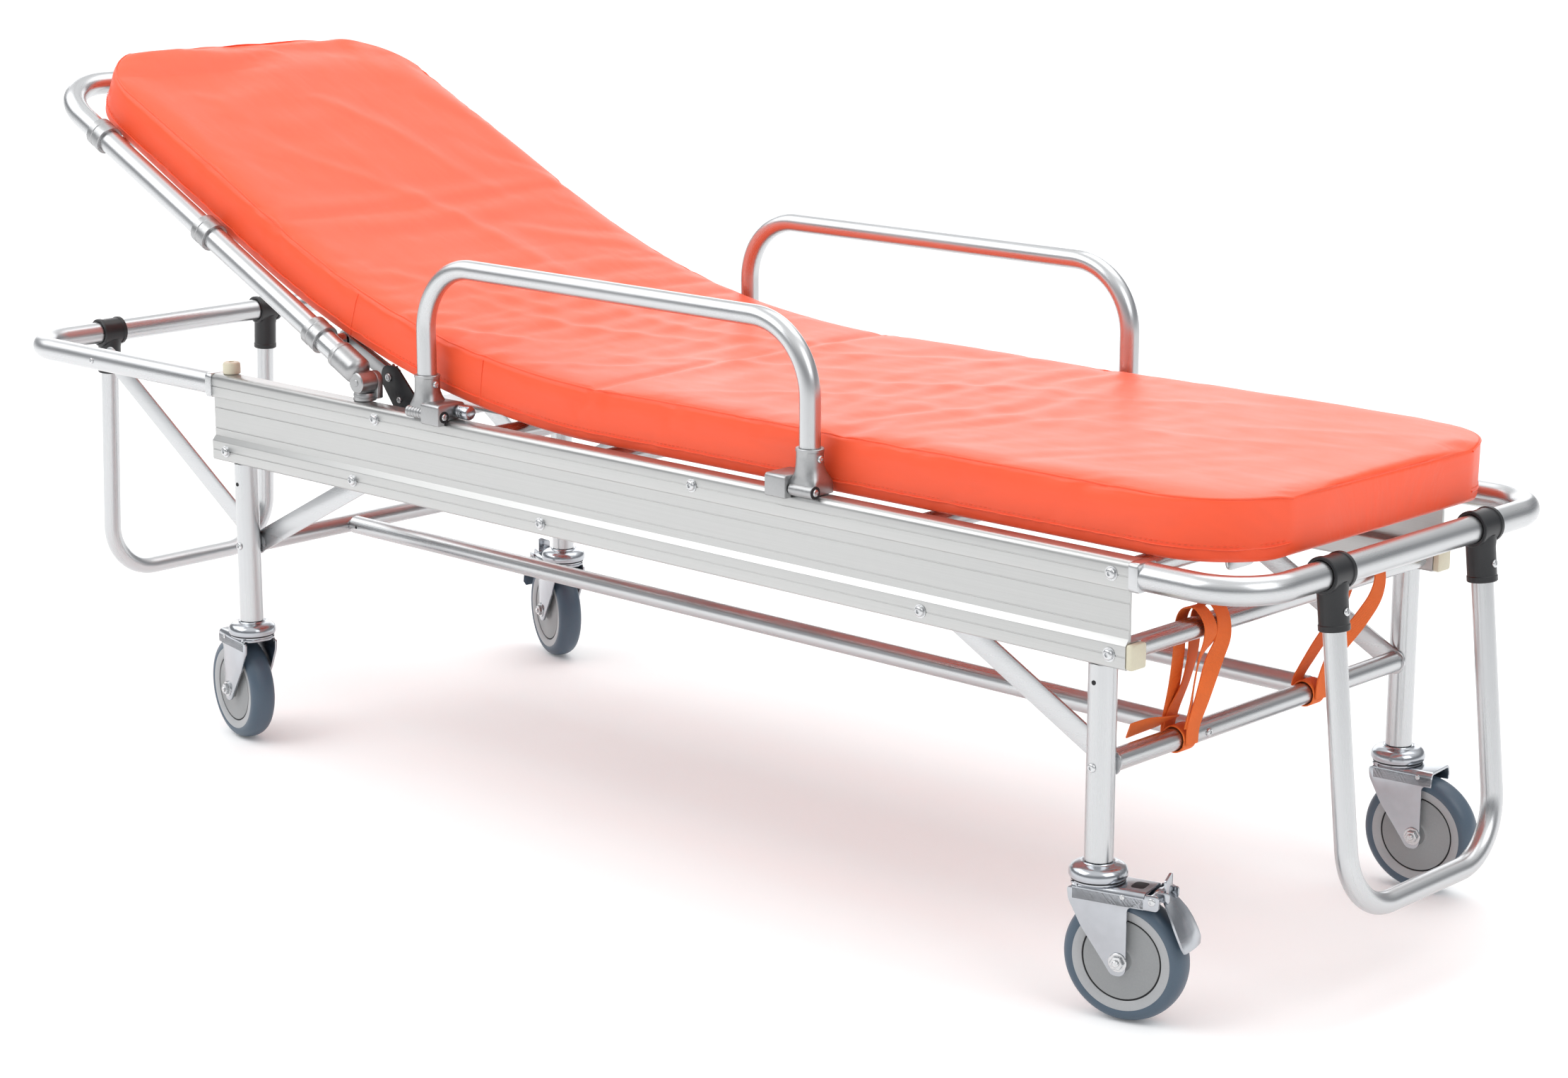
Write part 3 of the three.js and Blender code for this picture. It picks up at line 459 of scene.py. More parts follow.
    def make(self, name, paints, body, slot=None, nodes=(), matrix=None, mirror=1):
        """The mesh object, in metres, riding on its body. A mirror of -1 turns a right-hand piece left-hand."""
        mesh = bpy.data.meshes.new(name)
        matrix = matrix or Matrix.Identity(4)
        points = [(matrix @ Vector((p.x, p.y * mirror, p.z))) * MM for p in self.points]
        mesh.from_pydata(points, [], self.faces)
        write_flow(mesh, self.flow)
        mesh.polygons.foreach_set("material_index", self.paint)
        for paint in paints:
            mesh.materials.append(paint)
        face_outward(mesh, merge=True)
        mesh.shade_smooth()
        mesh.set_sharp_from_angle(angle=math.radians(32))
        made = add_object(name, mesh)
        if body:
            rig.ride(made, body)
        if slot:
            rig.slot(made, slot)
        if nodes:
            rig.replaces(made, *nodes)
        return made


def both_sides(name, shape, paints, body, slot, nodes=(), matrix=None):
    """A right-hand shape and its mirror image. In names, * stands for the side."""
    for side, mirror in SIDES:
        shape.make(f"{name}_{side}", paints, body.replace("*", side), slot, [n.replace("*", side) for n in nodes],
                   matrix, mirror)


# ---- Rails ----
def groove(y, z, wide=1.5, deep=0.5):
    """A shallow channel along the rail's outer side, as outline corners going down."""
    return [(y, z + wide / 2), (y + deep, z + wide / 4), (y + deep, z - wide / 4), (y, z - wide / 2)]


outline = [(-240, 424, 2), (-240, 452, 10), (-270, 452, 7), *groove(-270, 437.5), (-270, 424, 2), (-267, 424),
           *groove(-267, 411.5), *groove(-267, 386.5), (-267, 377.5), (-272, 371.5, 1.2), *groove(-272, 361),
           (-272, 348, 3), (-248, 348, 3), (-248, 374, 2), (-263.5, 374), (-263.5, 424)]
rail = Shape().plate(outline, "yz", *RAIL, 0.5)
both_sides("rail_extrusion", rail, [RAIL_METAL], "frame", "rail_aluminium", ["rail_*"])
caps = Shape()
caps.plate([(-271.5, 348.6, 3), (-248.5, 348.6, 3), (-248.5, 373.4, 3), (-271.5, 373.4, 3)], "yz", 820.6, 827.5, 1.4)
both_sides("rail_end_cap", caps, [IVORY], "frame", "ivory_plastic")

# ---- End loops with their collars ----
for end in ("head", "foot"):
    out = 1 if end == "foot" else -1
    start, far = (RAIL[1] + 0.3) if end == "foot" else (RAIL[0] - 0.3), LOOP_X[end]
    ends = [(start + out, -LEG_Y, LOOP_Z), (far, -LEG_Y, LOOP_Z), (far, LEG_Y, LOOP_Z), (start + out, LEG_Y, LOOP_Z)]
    loop = Shape().bent(ends, 60, TUBE, 48, 20)
    for y in (-LEG_Y, LEG_Y):
        a, b = y - 14.5, y + 14.5
        corners = [(a, LOOP_Z - 14.5, 5), (b, LOOP_Z - 14.5, 5), (b, LOOP_Z + 14.5, 5), (a, LOOP_Z + 14.5, 5)]
        loop.plate(corners, "yz", *sorted((start, start + out * 11)), 1.0)
    loop.make(f"{end}_loop_tube", *FRAME_TUBE, [f"{end}_loop"])

# ---- Legs, cross tubes, long tubes ----
for end in ("head", "foot"):
    x = LEG_X[end]
    leg = Shape().rod((x, -LEG_Y, 153.3), (x, -LEG_Y, 347.7), TUBE, 48)
    both_sides(f"{end}_leg_tube", leg, *FRAME_TUBE, [f"{end}_leg_*"])
    lower = Shape().rod((x, -239.4, LOWER_Z), (x, 239.4, LOWER_Z), CROSS, 40)
    lower.make(f"{end}_low_cross", *FRAME_TUBE, [f"lower_cross_tube_{end}"])
    x = UPPER_X[end]
    upper = Shape().rod((x, -247.7, UPPER_Z), (x, 247.7, UPPER_Z), CROSS, 40)
    upper.make(f"{end}_high_cross", *FRAME_TUBE, [f"upper_cross_tube_{end}"])
long_tube = Shape().rod((-499.7, -LONG_TUBE_Y, LOWER_Z), (772.7, -LONG_TUBE_Y, LOWER_Z), CROSS, 40)
both_sides("long_rail_tube", long_tube, *FRAME_TUBE, ["long_tube_*"])


# ---- Braces ----
def brace(shape, start, end, low, high):
    """A flat bar with rounded ends between two bolts, as (x, z) points."""
    start, end = Vector(start), Vector(end)
    along = (end - start).normalized() * 12.5
    side = Vector((-along.y, along.x))
    corners = [start - along - side, end + along - side, end + along + side, start - along + side]
    shape.plate([(c.x, c.y, 10) for c in corners], "xz", low, high, 0.6, 6)


for end, name, top, low in (("head", "head_brace_bars", BRACE_X[0], 0.05), ("foot", "foot_brace_bar", BRACE_X[1], 0)):
    bars, foot = Shape(), (LEG_X[end], LOWER_Z)
    if end == "head":
        brace(bars, (HEAD_BRACE_X, LOOP_Z), foot, -BRACE_Y, -239.75)
    brace(bars, (top, UPPER_Z), foot, low - BRACE_Y, -239.7)
    bars.rod((top, -247.7, UPPER_Z), (top, -241, UPPER_Z), 9)
    both_sides(name, bars, *FRAME_TUBE, [f"{end}_brace_*"])

# ---- Deck ----
deck = Shape()
for y in SLATS:
    a, b = y - 22.5, y + 22.5
    deck.plate([(-259, a, 10), (868, a), (868, b), (-259, b, 10)], "xy", 447, 450, 0.5)
    deck.plate([(a, 436, 8), (b, 436, 8), (b, 449.9), (a, 449.9)], "yz", 867.4, 870.4, 0.5)
for x in (-246, -89, 91, 541, 801):
    deck.rod((x, -239.7, 436.4), (x, 239.7, 436.4), CROSS, 36)
deck.make("deck_slats", *FRAME_TUBE, ["seat_deck"])

bumper = Shape()
bumper.turned([(0, 452.3), (10, 452.3), (10.5, 453), (10.5, 463), (10, 465), (8.5, 466.3), (3.4, 466.4), (3, 465),
               (0, 465)], (-538, -252, 0))
both_sides("bumper_knob", bumper, [IVORY], "frame", "ivory_plastic", ["rest_bumper_*"])

# ---- Backrest hinge bases and ratchet ----
base = Shape()
base.turned([(0, 452.3), (12.6, 452.3), (13.4, 453), (13.4, 455.4), (12.6, 456.1), (12.6, 457), (13.2, 457.6),
             (13.2, 460), (12.4, 461.4), (10.6, 462.2), (0, 462.2)], (-292, -250, 0))
base.plate([(-298, 455, 2), (-274, 455, 2), (-273, 486.5, 11), (-295, 486.5, 11)], "xz", -246, -238, 1.2, 8)
base.rod((HINGE.x, -236.5, HINGE.z), (HINGE.x, -271, HINGE.z), 4.2)
base.pan_head((HINGE.x, -238.2, HINGE.z), (0, 1, 0), 6.5)
both_sides("hinge_casting", base, [CAST_METAL], "frame", "die_casting", ["hinge_base_*"])

plate = Shape()
plate.plate([(-298, 469.5, 12), (-260, 420.4, 12), (-230, 420.4, 14), (-230, 450.4, 14), (-270, 489.5, 12),
             (-296, 489.5, 12)], "xz", -221, -218, 0.5, 8)
plate.make("ratchet_side_plate", [BLACK], "frame", "black_plastic", ["ratchet_plate"])
rivets = Shape().pan_head((HINGE.x, -221.1, HINGE.z), (0, -1, 0), 5, 2.2)
rivets.pan_head((-266, -221.1, 451.5), (0, -1, 0), 3.6, 1.8)
rivets.make("ratchet_rivets", [BOLT_METAL], "frame", "plated_steel")
arm = Shape()
for low, high in ((-217.7, -215), (-212.2, -209.5)):
    bar = [(10, -9, 8), (10, 9, 8), (-84, 2, 4), (-96, 0, 4), (-96, -12, 4), (-84, -13, 4)]
    arm.plate(bar, "xz", low, high, 0.4)
arm.rod((-90, -217.7, -6), (-90, -209.5, -6), 10.6)
arm.rod((0, -220.5, 0), (0, -208.9, 0), 5)
teeth = [(r * a, r * b) for (a, b), r in zip(circle(28), (12, 15) * 14)]
arm.plate(teeth, "xz", -215.1, -212.1, 0.2)
arm.make("ratchet_bars", *BACKREST_CAST, ["ratchet_arm"], BACKREST)
pawl = Shape()
pawl.plate([(-272, 446.5, 4), (-260, 446.5, 4), (-260, 456.5, 4), (-272.4, 463.7, 1), (-276.4, 461.7, 1)], "xz",
           -215, -212.5, 0.3)
pawl.make("ratchet_pawl_steel", [PLATED], "pawl", "plated_steel", ["ratchet_pawl"])

# ---- Backrest frame ----
back = Shape()
back.bent([(-16, -BACK_Y, BACK_LIFT), (-660, -BACK_Y, BACK_LIFT), (-660, BACK_Y, BACK_LIFT), (-16, BACK_Y, BACK_LIFT)],
          76, TUBE, 48, 20)
back.make("backrest_tube", [TUBE_METAL], "backrest", "tube_aluminium", ["backrest_frame"], BACKREST)
bands = Shape()
for u in CLAMPS:
    bands.turned([(14.2, -12), (17.4, -12), (18, -11.4), (18, -3.4), (17.4, -2.6), (17.4, 2.6), (18, 3.4), (18, 11.4),
                  (17.4, 12), (14.2, 12)], (-u, -BACK_Y, BACK_LIFT), (1, 0, 0), 44, hoop=True)
both_sides("backrest_band", bands, *BACKREST_CAST, (), BACKREST)
knuckle = Shape()
sleeve = [(14.2, -50), (16.2, -50), (16.6, -49.2), (16.6, -45), (15.8, -44.2), (15.8, -43.4), (16.6, -42.6),
          (16.6, -16)]
sleeve += [(16.6 * a, -16 + 11 * b) for a, b in circle(32)[1:9]]
knuckle.turned(sleeve, (0, -BACK_Y, BACK_LIFT), (1, 0, 0), 44)
barrel = [(0, -270), (10.6, -270), (12, -268.8), (12, -247.9), (11, -246.9), (0, -246.9)]
knuckle.turned(barrel, (0, 0, 0), (0, 1, 0), 40)
both_sides("backrest_knuckle", knuckle, *BACKREST_CAST, (), BACKREST)
back_deck = Shape()
for u in CLAMPS:
    back_deck.rod((-u, -239.7, -6), (-u, 239.7, -6), 8, 32)
for y in SLATS:
    a, b = y - 20, y + 20
    back_deck.plate([(-622, a, 8), (-40, a, 8), (-40, b, 8), (-622, b, 8)], "xy", 1.7, 4.7, 0.5)
back_deck.make("backrest_slats", [TUBE_METAL], "backrest", "tube_aluminium", ["backrest_deck"], BACKREST)

# ---- Side guards ----
guard = Shape()
guard.bent([(GUARD_X["head"], -GUARD_Y, 473), (GUARD_X["head"], -GUARD_Y, 624), (GUARD_X["foot"], -GUARD_Y, 624),
            (GUARD_X["foot"], -GUARD_Y, 473)], 76, CROSS, 44, 20)
both_sides("guard_rail", guard, [TUBE_METAL], "guard_*", "tube_aluminium", ["guard_tube_*"])


def lofted(shape, layers, sides=48):
    """Rings that run from square to round: (z, centre x, centre y, half x, half y, squareness)."""
    rings = []
    for z, cx, cy, hx, hy, power in layers:
        rings.append([(cx + hx * math.copysign(abs(c) ** (2 / power), c),
                       cy + hy * math.copysign(abs(s) ** (2 / power), s), z) for c, s in circle(2 * sides)[1::2]])
    shape.rings(rings)


for end in ("head", "foot"):
    x = GUARD_X[end]
    socket = Shape()
    lofted(socket, [
        (452.8, x, -258, 17, 15, 9), (453.4, x, -258, 17.8, 15.8, 9), (461, x, -258, 18, 16, 8),
        (466, x, -258, 17.8, 15.9, 6), (469, x, -258.3, 17.2, 15.4, 4), (475, x, -259.2, 15.4, 14.4, 2.6),
        (481, x, -260, 14.4, 14, 2.1), (490, x, -260, 14, 14, 2), (495.4, x, -260, 14, 14, 2),
        (496, x, -260, 15, 14.2, 2), (498.4, x, -260, 15, 14.2, 2), (499, x, -260, 14.4, 13.8, 2),
        (499, x, -260, 11.3, 11.3, 2), (498, x, -260, 11.1, 11.1, 2),
    ])
    a, b = {"head": (-189, -160.2), "foot": (399.2, 431)}[end]
    length = b - a
    ribbed = [(0, 0), (5.6, 0), (6.5, 0.9)]
    for k in range(1, 6):
        h = length * k / 6
        ribbed += [(6.5, h - 1.1), (5.7, h - 0.5), (5.7, h + 0.5), (6.5, h + 1.1)]
    ribbed += [(6.5, length - 0.9), (5.6, length), (0, length)]
    smooth = [(0, 0), (5.6, 0), (6.5, 0.9), (6.5, length - 0.9), (5.6, length), (0, length)]
    socket.turned(ribbed if end == "head" else smooth, (a, -AXIS_Y, AXIS_Z), (1, 0, 0), 32)
    both_sides(f"guard_casting_{end}", socket, [CAST_METAL], "guard_*", "die_casting", [f"guard_socket_{end}_*"])
    a, b = {"head": (-159, -129.1), "foot": (369.6, 398)}[end]
    hinge_block = Shape()
    hinge_block.plate([(-281, 447, 2.5), (-270.6, 447, 0.8), (-270.6, 452.3, 0.8), (-241, 452.3, 2), (-241, 471, 4),
                       (-281, 471, 4)], "yz", a, b, 1.4, 6)
    # A near-black disc round the pin, under its screw head: painted shade for the recess round the pin.
    ring = [(0, -0.4), (6.6, -0.4), (6.6, 0.5), (4.6, 0.5), (4.4, 0.1), (0, 0.1)]
    pin_x = {"head": b, "foot": 431.4}[end]
    hinge_block.turned(ring, (pin_x, -AXIS_Y, AXIS_Z), (1, 0, 0), 32, 1)
    hinge_block.pan_head((pin_x, -AXIS_Y, AXIS_Z), (1, 0, 0), 3.8, 1.8, 2)
    both_sides(f"guard_clamp_{end}", hinge_block, [CAST_METAL, DARK, BOLT_METAL], "frame", "die_casting",
               [f"guard_block_{end}_*"])
plunger = Shape()
knob = [(0, 0), (5, 0), (5, 1.4), (7.4, 1.6), (8, 2.4), (8, 4.6), (7.5, 5), (7.5, 5.6), (8, 6), (8, 8.2), (7.5, 8.6),
        (7.5, 9.2), (8, 9.6), (8, 17.6), (7.2, 19), (5.6, 19.7), (0, 19.8)]
plunger.turned(knob, (-128.7, -PLUNGER_Y, PLUNGER_Z), (1, 0, 0), 40)
plunger.rod((-157, -PLUNGER_Y, PLUNGER_Z), (-127, -PLUNGER_Y, PLUNGER_Z), 4)
both_sides("guard_pull_knob", plunger, [PLATED], "guard_lock_*", "plated_steel", ["guard_plunger_*"])
guard_screws = Shape()
for end in ("head", "foot"):
    guard_screws.pan_head((GUARD_X[end] + 13.9, -GUARD_Y, 489), (1, 0, 0), 3.8, 2.2)
both_sides("guard_screw", guard_screws, [BOLT_METAL], "guard_*", "plated_steel")

# ---- Drop handles ----
for end in ("head", "foot"):
    lean = math.radians(3 if end == "head" else -6.2)
    place = Matrix.Translation((LOOP_X[end], 0, LOOP_Z)) @ Matrix.Rotation(lean, 4, "Y")
    handle = Shape()
    handle.bent([(0, -HANDLE_Y, -21), (0, -HANDLE_Y, -330), (0, HANDLE_Y, -330), (0, HANDLE_Y, -21)], 66, CROSS, 44, 20)
    body = f"{end}_drop_handle"
    handle.make(f"{end}_handle_tube", [TUBE_METAL], body, "tube_aluminium", [f"{end}_handle"], place)
    out = 1 if end == "foot" else -1
    for side, y in (("right", -HANDLE_Y), ("left", HANDLE_Y)):
        tee = Shape()
        tee.turned([(14.8, -17), (17.2, -17), (18, -16.2), (18, -12.6), (17, -12), (17, 12), (18, 12.6), (18, 16.2),
                    (17.2, 17), (14.8, 17)], (0, y, 0), (0, 1, 0), 44, hoop=True)
        tee.turned([(12.4, -54), (14.6, -54), (15.2, -53.2), (15.2, -48.5), (14.6, -47.8), (14.6, -20), (15.6, -14),
                    (15.6, -8)], (0, y, 0), (0, 0, 1), 44)
        tee.make(f"{end}_tee_moulding_{side}", [BLACK], body, "black_plastic", [f"{end}_tee_{side}"], place)
        screw = Shape().pan_head((out * 14.4, y, -36), (out, 0, 0), 4, 2.2)
        screw.make(f"{end}_tee_screw_{side}", [BOLT_METAL], body, "plated_steel", (), place)


# ---- Casters, with the swivel axis at the origin and the wheel trailing towards +X ----
def ellipse_tread(width, inner, steps=18):
    """Half a tyre's section, round on the tread and fuller at the shoulders."""
    made = []
    for k in range(steps + 1):
        a = math.pi * (k / steps - 0.5)
        c, s = max(0.0, math.cos(a)), math.sin(a)
        made.append((inner + (WHEEL - inner) * c ** 0.8, width * math.copysign(abs(s) ** 0.9, s)))
    return made


def wheel_pieces(tag, body, place):
    """A rubber tyre, and its rim and hub disc with the groove between them on each face, whose floor is painted
    near-black as painted shade.
    """
    axle, across_wheel = (TRAIL, 0, WHEEL), (0, 1, 0)
    section = [(44, -13), (50.2, -14.9), *ellipse_tread(15.4, 51.2), (50.2, 14.9), (44, 13)]
    tyre = Shape().turned(section, axle, across_wheel, 96, hoop=True)
    tyre.make(f"tyre_{tag}", [RUBBER], body, "wheel_rubber", [f"wheel_{tag}"], place)
    rim = Shape()
    for s in (-1, 1):
        rim.turned([(40.9, 9 * s), (40.9, 13 * s), (41.6, 13.6 * s), (49, 14.9 * s), (51, 14.8 * s), (51.6, 13.6 * s),
                    (46, 9 * s)], axle, across_wheel, 96, hoop=True)
        rim.turned([(5.9, 11 * s), (5.9, 14.6 * s), (11.5, 14.6 * s), (12.5, 13.8 * s), (14.5, 12.7 * s),
                    (38.4, 13 * s), (39.1, 12.7 * s), (39.1, 9 * s), (5.9, 9 * s)], axle, across_wheel, 96, 1, True)
        # The groove's floor takes the near-black paint: painted shade in the recess.
        groove_floor = [(38.6, 8.6 * s), (38.6, 12.2 * s), (41.3, 12.2 * s), (41.3, 8.6 * s)]
        rim.turned(groove_floor, axle, across_wheel, 96, 2, True)
    rim.turned([(5.9, -12), (45, -12), (45, 12), (5.9, 12)], axle, across_wheel, 48, 1)
    rim.make(f"wheel_centre_{tag}", [RIM, HUB, DARK], body, "grey_plastic", (), place)


def fork_pieces(tag, body, braked, place):
    """A fork pressed from sheet, its bearing cap and its bolts. A braked one reaches on to the pedal's pivot."""
    fork = Shape()
    x, z = PIVOT
    reach, plate_end = (71, 56) if braked else (50, 50)
    cheek = [(-23, 130, 3), (-22, 118, 20), (-8, 92, 60), (TRAIL - 15, 60, 16), (TRAIL - 7, 48.5, 9),
             (TRAIL + 8, 48.5, 8), (TRAIL + 8, 119, 5), (reach, 119, 4), (reach, 130, 2)]
    if braked:
        cheek[-1:] = [(reach, 134, 3), (plate_end + 1, 134, 1), (plate_end, 130)]
    for low, high in ((-21.5, -18.5), (18.5, 21.5)):
        fork.plate(cheek, "xz", low, high, 0.7, 8)
    channel = [(-21.5, 119), (-21.5, 135, 6), (21.5, 135, 6), (21.5, 119), (18.5, 119), (18.5, 132, 3),
               (-18.5, 132, 3), (-18.5, 119)]
    fork.plate(channel, "yz", -18, plate_end, 0.7, 8)
    fork.plate([(-24, -19, 14), (-14, -21, 2), (-14, 21, 2), (-24, 19, 14)], "xy", 130.4, 134.8, 1.6, 8)
    cap = [(0, 134), (25.4, 134), (26, 134.6), (26, 137.2), (27.6, 138), (28.4, 139.6), (28.5, 142), (28.2, 144.4),
           (27.2, 146.8), (25.2, 149), (22.4, 150.5), (19, 151.3), (16.6, 151.6), (15.8, 152.2), (15.4, 153), (0, 153)]
    fork.turned(cap, (0, 0, 0), (0, 0, 1), 72)
    # A thin near-black ring under the bearing cap's rim: painted shade.
    fork.turned([(25, 136), (26.4, 136), (26.4, 137.4), (25, 137.4)], (0, 0, 0), (0, 0, 1), 72, 1, True)
    fork.rod((TRAIL, -24, WHEEL), (TRAIL, 24, WHEEL), 5)
    for s in (-1, 1):
        fork.turned([(0, 0), (9.4, 0), (9.4, 1.0), (8.8, 1.4), (0, 1.4)], (TRAIL, 21.4 * s, WHEEL), (0, s, 0), 36, 2)
        fork.hex_nut((TRAIL, 22.8 * s, WHEEL), (0, s, 0), 12, 3.4, 3.4, 2)
        fork.pan_head((34, 21.4 * s, 128), (0, s, 0), 2.6, 1.2, 2)
        if braked:
            fork.pan_head((x, 21.4 * s, z), (0, s, 0), 3.8, 1.8, 2)
    if braked:
        fork.rod((x, -21, z), (x, 21, z), 3)
        fork.plate([(36, -9, 4), (50, -9, 4), (50, 9, 4), (36, 9, 4)], "xy", 134.8, 135.15, 0.1, 4, 1)
    fork.make(f"fork_steel_{tag}", [PLATED, DARK, BOLT_METAL], body, "plated_steel", [f"fork_{tag}"], place)


def pedal_piece(tag, body, place):
    """The brake pedal: a bright tab, a pivot barrel and a broad toe plate that curves down behind the wheel."""
    x, z = PIVOT
    line = [(x - 3, z + 5.5), (x + 4, z + 4.5), (x + 10, z + 0.5), (x + 15, z - 6), (x + 20, z - 13), (x + 25, z - 22),
            (x + 30, z - 32), (x + 33.5, z - 40), (x + 35, z - 46)]
    widths = [11, 11.5, 13, 16, 19, 21.5, 22.5, 22, 18]
    half_thick, sag = 1.1, 1.6
    pedal, rings = Shape(), []
    for k, (px, pz) in enumerate(line):
        run = Vector(line[min(k + 1, len(line) - 1)]) - Vector(line[max(k - 1, 0)])
        n = Vector((-run.y, run.x)).normalized() * -half_thick
        ring = []
        for face, shares in ((-1, range(9)), (1, range(8, -1, -1))):
            for j in shares:
                share = j / 4 - 1
                lift = face + sag * share**2
                ring.append((px + n.x * lift, widths[k] * share, pz + n.y * lift))
        rings.append(ring)
    pedal.rings(rings)
    pedal.plate([(-8, 131, 1), (8, 131, 1), (8, 150, 3), (4, 151, 2), (-8, 146, 3)], "yz", x + 6.4, x + 8.8, 0.4)
    ear = [(x - 2, z + 1, 2), (x + 13.6, z - 4, 3), (x + 14, z + 9, 3), (x - 2, z + 6, 2)]
    for low in (-12.5, 10.6):
        pedal.plate(ear, "xz", low, low + 1.9, 0.4)
    pedal.turned([(4, -17), (5.6, -17), (6, -16.6), (6, 16.6), (5.6, 17), (4, 17)], (x, 0, z), (0, 1, 0), 32)
    pedal.make(f"pedal_steel_{tag}", [PLATED], body, "plated_steel", [f"brake_pedal_{tag}"], place)


CASTERS = (("foot", "right", 14, True), ("foot", "left", 6, False), ("head", "right", 168, False),
           ("head", "left", 158, True))
for end, side, heading, braked in CASTERS:
    place = Matrix.Translation((LEG_X[end], -LEG_Y if side == "right" else LEG_Y, 0))
    place = place @ Matrix.Rotation(math.radians(heading), 4, "Z")
    tag = f"{end}_{side}"
    fork_pieces(tag, f"caster_{tag}", braked, place)
    wheel_pieces(tag, f"caster_wheel_{tag}", place)
    if braked:
        pedal_piece(tag, f"pedal_{tag}", place)

# ---- Bolts, screws and drilled holes of the frame; the holes are thin near-black discs of painted shade ----
bolts = Shape()
for x, z in ((-252, 438), (256, 438), (801, 438)):
    bolts.pan_head((x, -270, z), (0, -1, 0), 5.4, 3.4, 0, 7)
for x in (UPPER_X["head"], BRACE_X[0], 26, BRACE_X[1], UPPER_X["foot"]):
    bolts.pan_head((x, -272, UPPER_Z), (0, -1, 0), 5.4, 3.4, 0, 7)
for end in ("head", "foot"):
    x = LEG_X[end]
    bolts.pan_head((x, -LEG_Y - TUBE + 0.3, LOWER_Z), (0, -1, 0), 4.6, 2.8)
    hole = {"head": 323, "foot": 330}[end]
    # A thin near-black disc stands for the drilled hole: painted shade.
    bolts.turned([(0, 0), (2.4, 0), (2.4, 0.25), (0, 0.25)], (x, -LEG_Y - TUBE, hole), (0, -1, 0), 20, 1)
bolts.pan_head((HEAD_BRACE_X, -LEG_Y - TUBE + 0.2, LOOP_Z), (0, -1, 0), 3.6, 2)
for x, z in ((HEAD_BRACE_X, LOOP_Z), (BRACE_X[0], UPPER_Z), (BRACE_X[1], UPPER_Z)):
    bolts.pan_head((x, -239.6, z), (0, 1, 0), 4.6, 2.6)
for end, out in (("foot", 1), ("head", -1)):
    bolts.pan_head((LEG_X[end] + out * (CROSS - 0.2), -LONG_TUBE_Y, LOWER_Z), (out, 0, 0), 4.2, 2.6)
for x in (760, -486):
    # Thin near-black discs stand for drilled holes in the long tube: painted shade.
    bolts.turned([(0, 0), (1.8, 0), (1.8, 0.25), (0, 0.25)], (x, -LONG_TUBE_Y - CROSS, LOWER_Z), (0, -1, 0), 16, 1)
both_sides("frame_fixings", bolts, [BOLT_METAL, DARK], "frame", "plated_steel")

# ---- Mattress: one pad that bends over the hinge ----
THICK, HALF, BRIDGE = 61.0, 236.0, 300.0
BACK_END, SEAT_END = 642.0, 917.0
HEAD_CORNER, FOOT_CORNER = 100, 95
STATION_STEP, END_ZONE = 9.0, 60
SIM_FRAMES = 20
CLOTH = {"quality": 6, "mass": 0.25, "tension_stiffness": 18, "compression_stiffness": 18, "shear_stiffness": 6,
         "bending_stiffness": 0.4, "vertex_group_mass": "held", "pin_stiffness": 1.2, "use_pressure": True,
         "uniform_pressure_force": 2.0, "shrink_min": -0.004}
SWELL_LIMIT, SIDE_LIMIT = 5.0, 238.5
MID_LIFT, SEAT_MID = 5.2 + THICK / 2, 451.2 + THICK / 2
CORNER_U = (SEAT_MID - HINGE.z - MID_LIFT * math.cos(BACK_ANGLE)) / math.sin(BACK_ANGLE)
CORNER_X = HINGE.x - CORNER_U * math.cos(BACK_ANGLE) + MID_LIFT * math.sin(BACK_ANGLE)
BEND_RADIUS = BRIDGE / math.tan(BACK_ANGLE / 2)
BACK_RUN = BACK_END - CORNER_U - BRIDGE
PAD_LENGTH = BACK_RUN + BEND_RADIUS * BACK_ANGLE + SEAT_END - CORNER_X - BRIDGE


def pad_station(d):
    """The pad's middle line at a distance from its head end: place and upward normal, in X and Z."""
    back = Vector((math.cos(BACK_ANGLE), -math.sin(BACK_ANGLE)))
    corner = Vector((CORNER_X, SEAT_MID))
    if d < BACK_RUN:
        return corner - back * (BRIDGE + BACK_RUN - d), Vector((math.sin(BACK_ANGLE), math.cos(BACK_ANGLE)))
    bend = (d - BACK_RUN) / BEND_RADIUS
    if bend < BACK_ANGLE:
        a = BACK_ANGLE - bend
        centre = Vector((CORNER_X + BRIDGE, SEAT_MID + BEND_RADIUS))
        up = Vector((math.sin(a), math.cos(a)))
        return centre - up * BEND_RADIUS, up
    return Vector((CORNER_X + BRIDGE + d - BACK_RUN - BEND_RADIUS * BACK_ANGLE, SEAT_MID)), Vector((0, 1))


def corner_cut(distance, radius):
    return 0 if distance >= radius else radius - math.sqrt(max(0, radius**2 - (radius - distance) ** 2))


def pad_section(half, thick, top, low):
    """The pad's outline across, going round from the middle of the top, as (y, height) points."""
    middle, up = (0, thick / 2, 0), thick / 2
    turns = [middle, (half, up, top), (half, -up, low), (-half, -up, low), (-half, up, top), middle]
    points = [Vector(middle[:2])]
    for count, before, corner, after in zip((26, 6, 52, 6), turns, turns[1:], turns[2:]):
        bend = [p for p, _ in arc(Vector(before[:2]), Vector(corner[:2]), Vector(after[:2]), corner[2], 5)]
        points += [points[-1].lerp(bend[0], (k + 1) / count) for k in range(count - 1)] + bend
    return points + [points[-1].lerp(points[0], (k + 1) / 26) for k in range(25)]


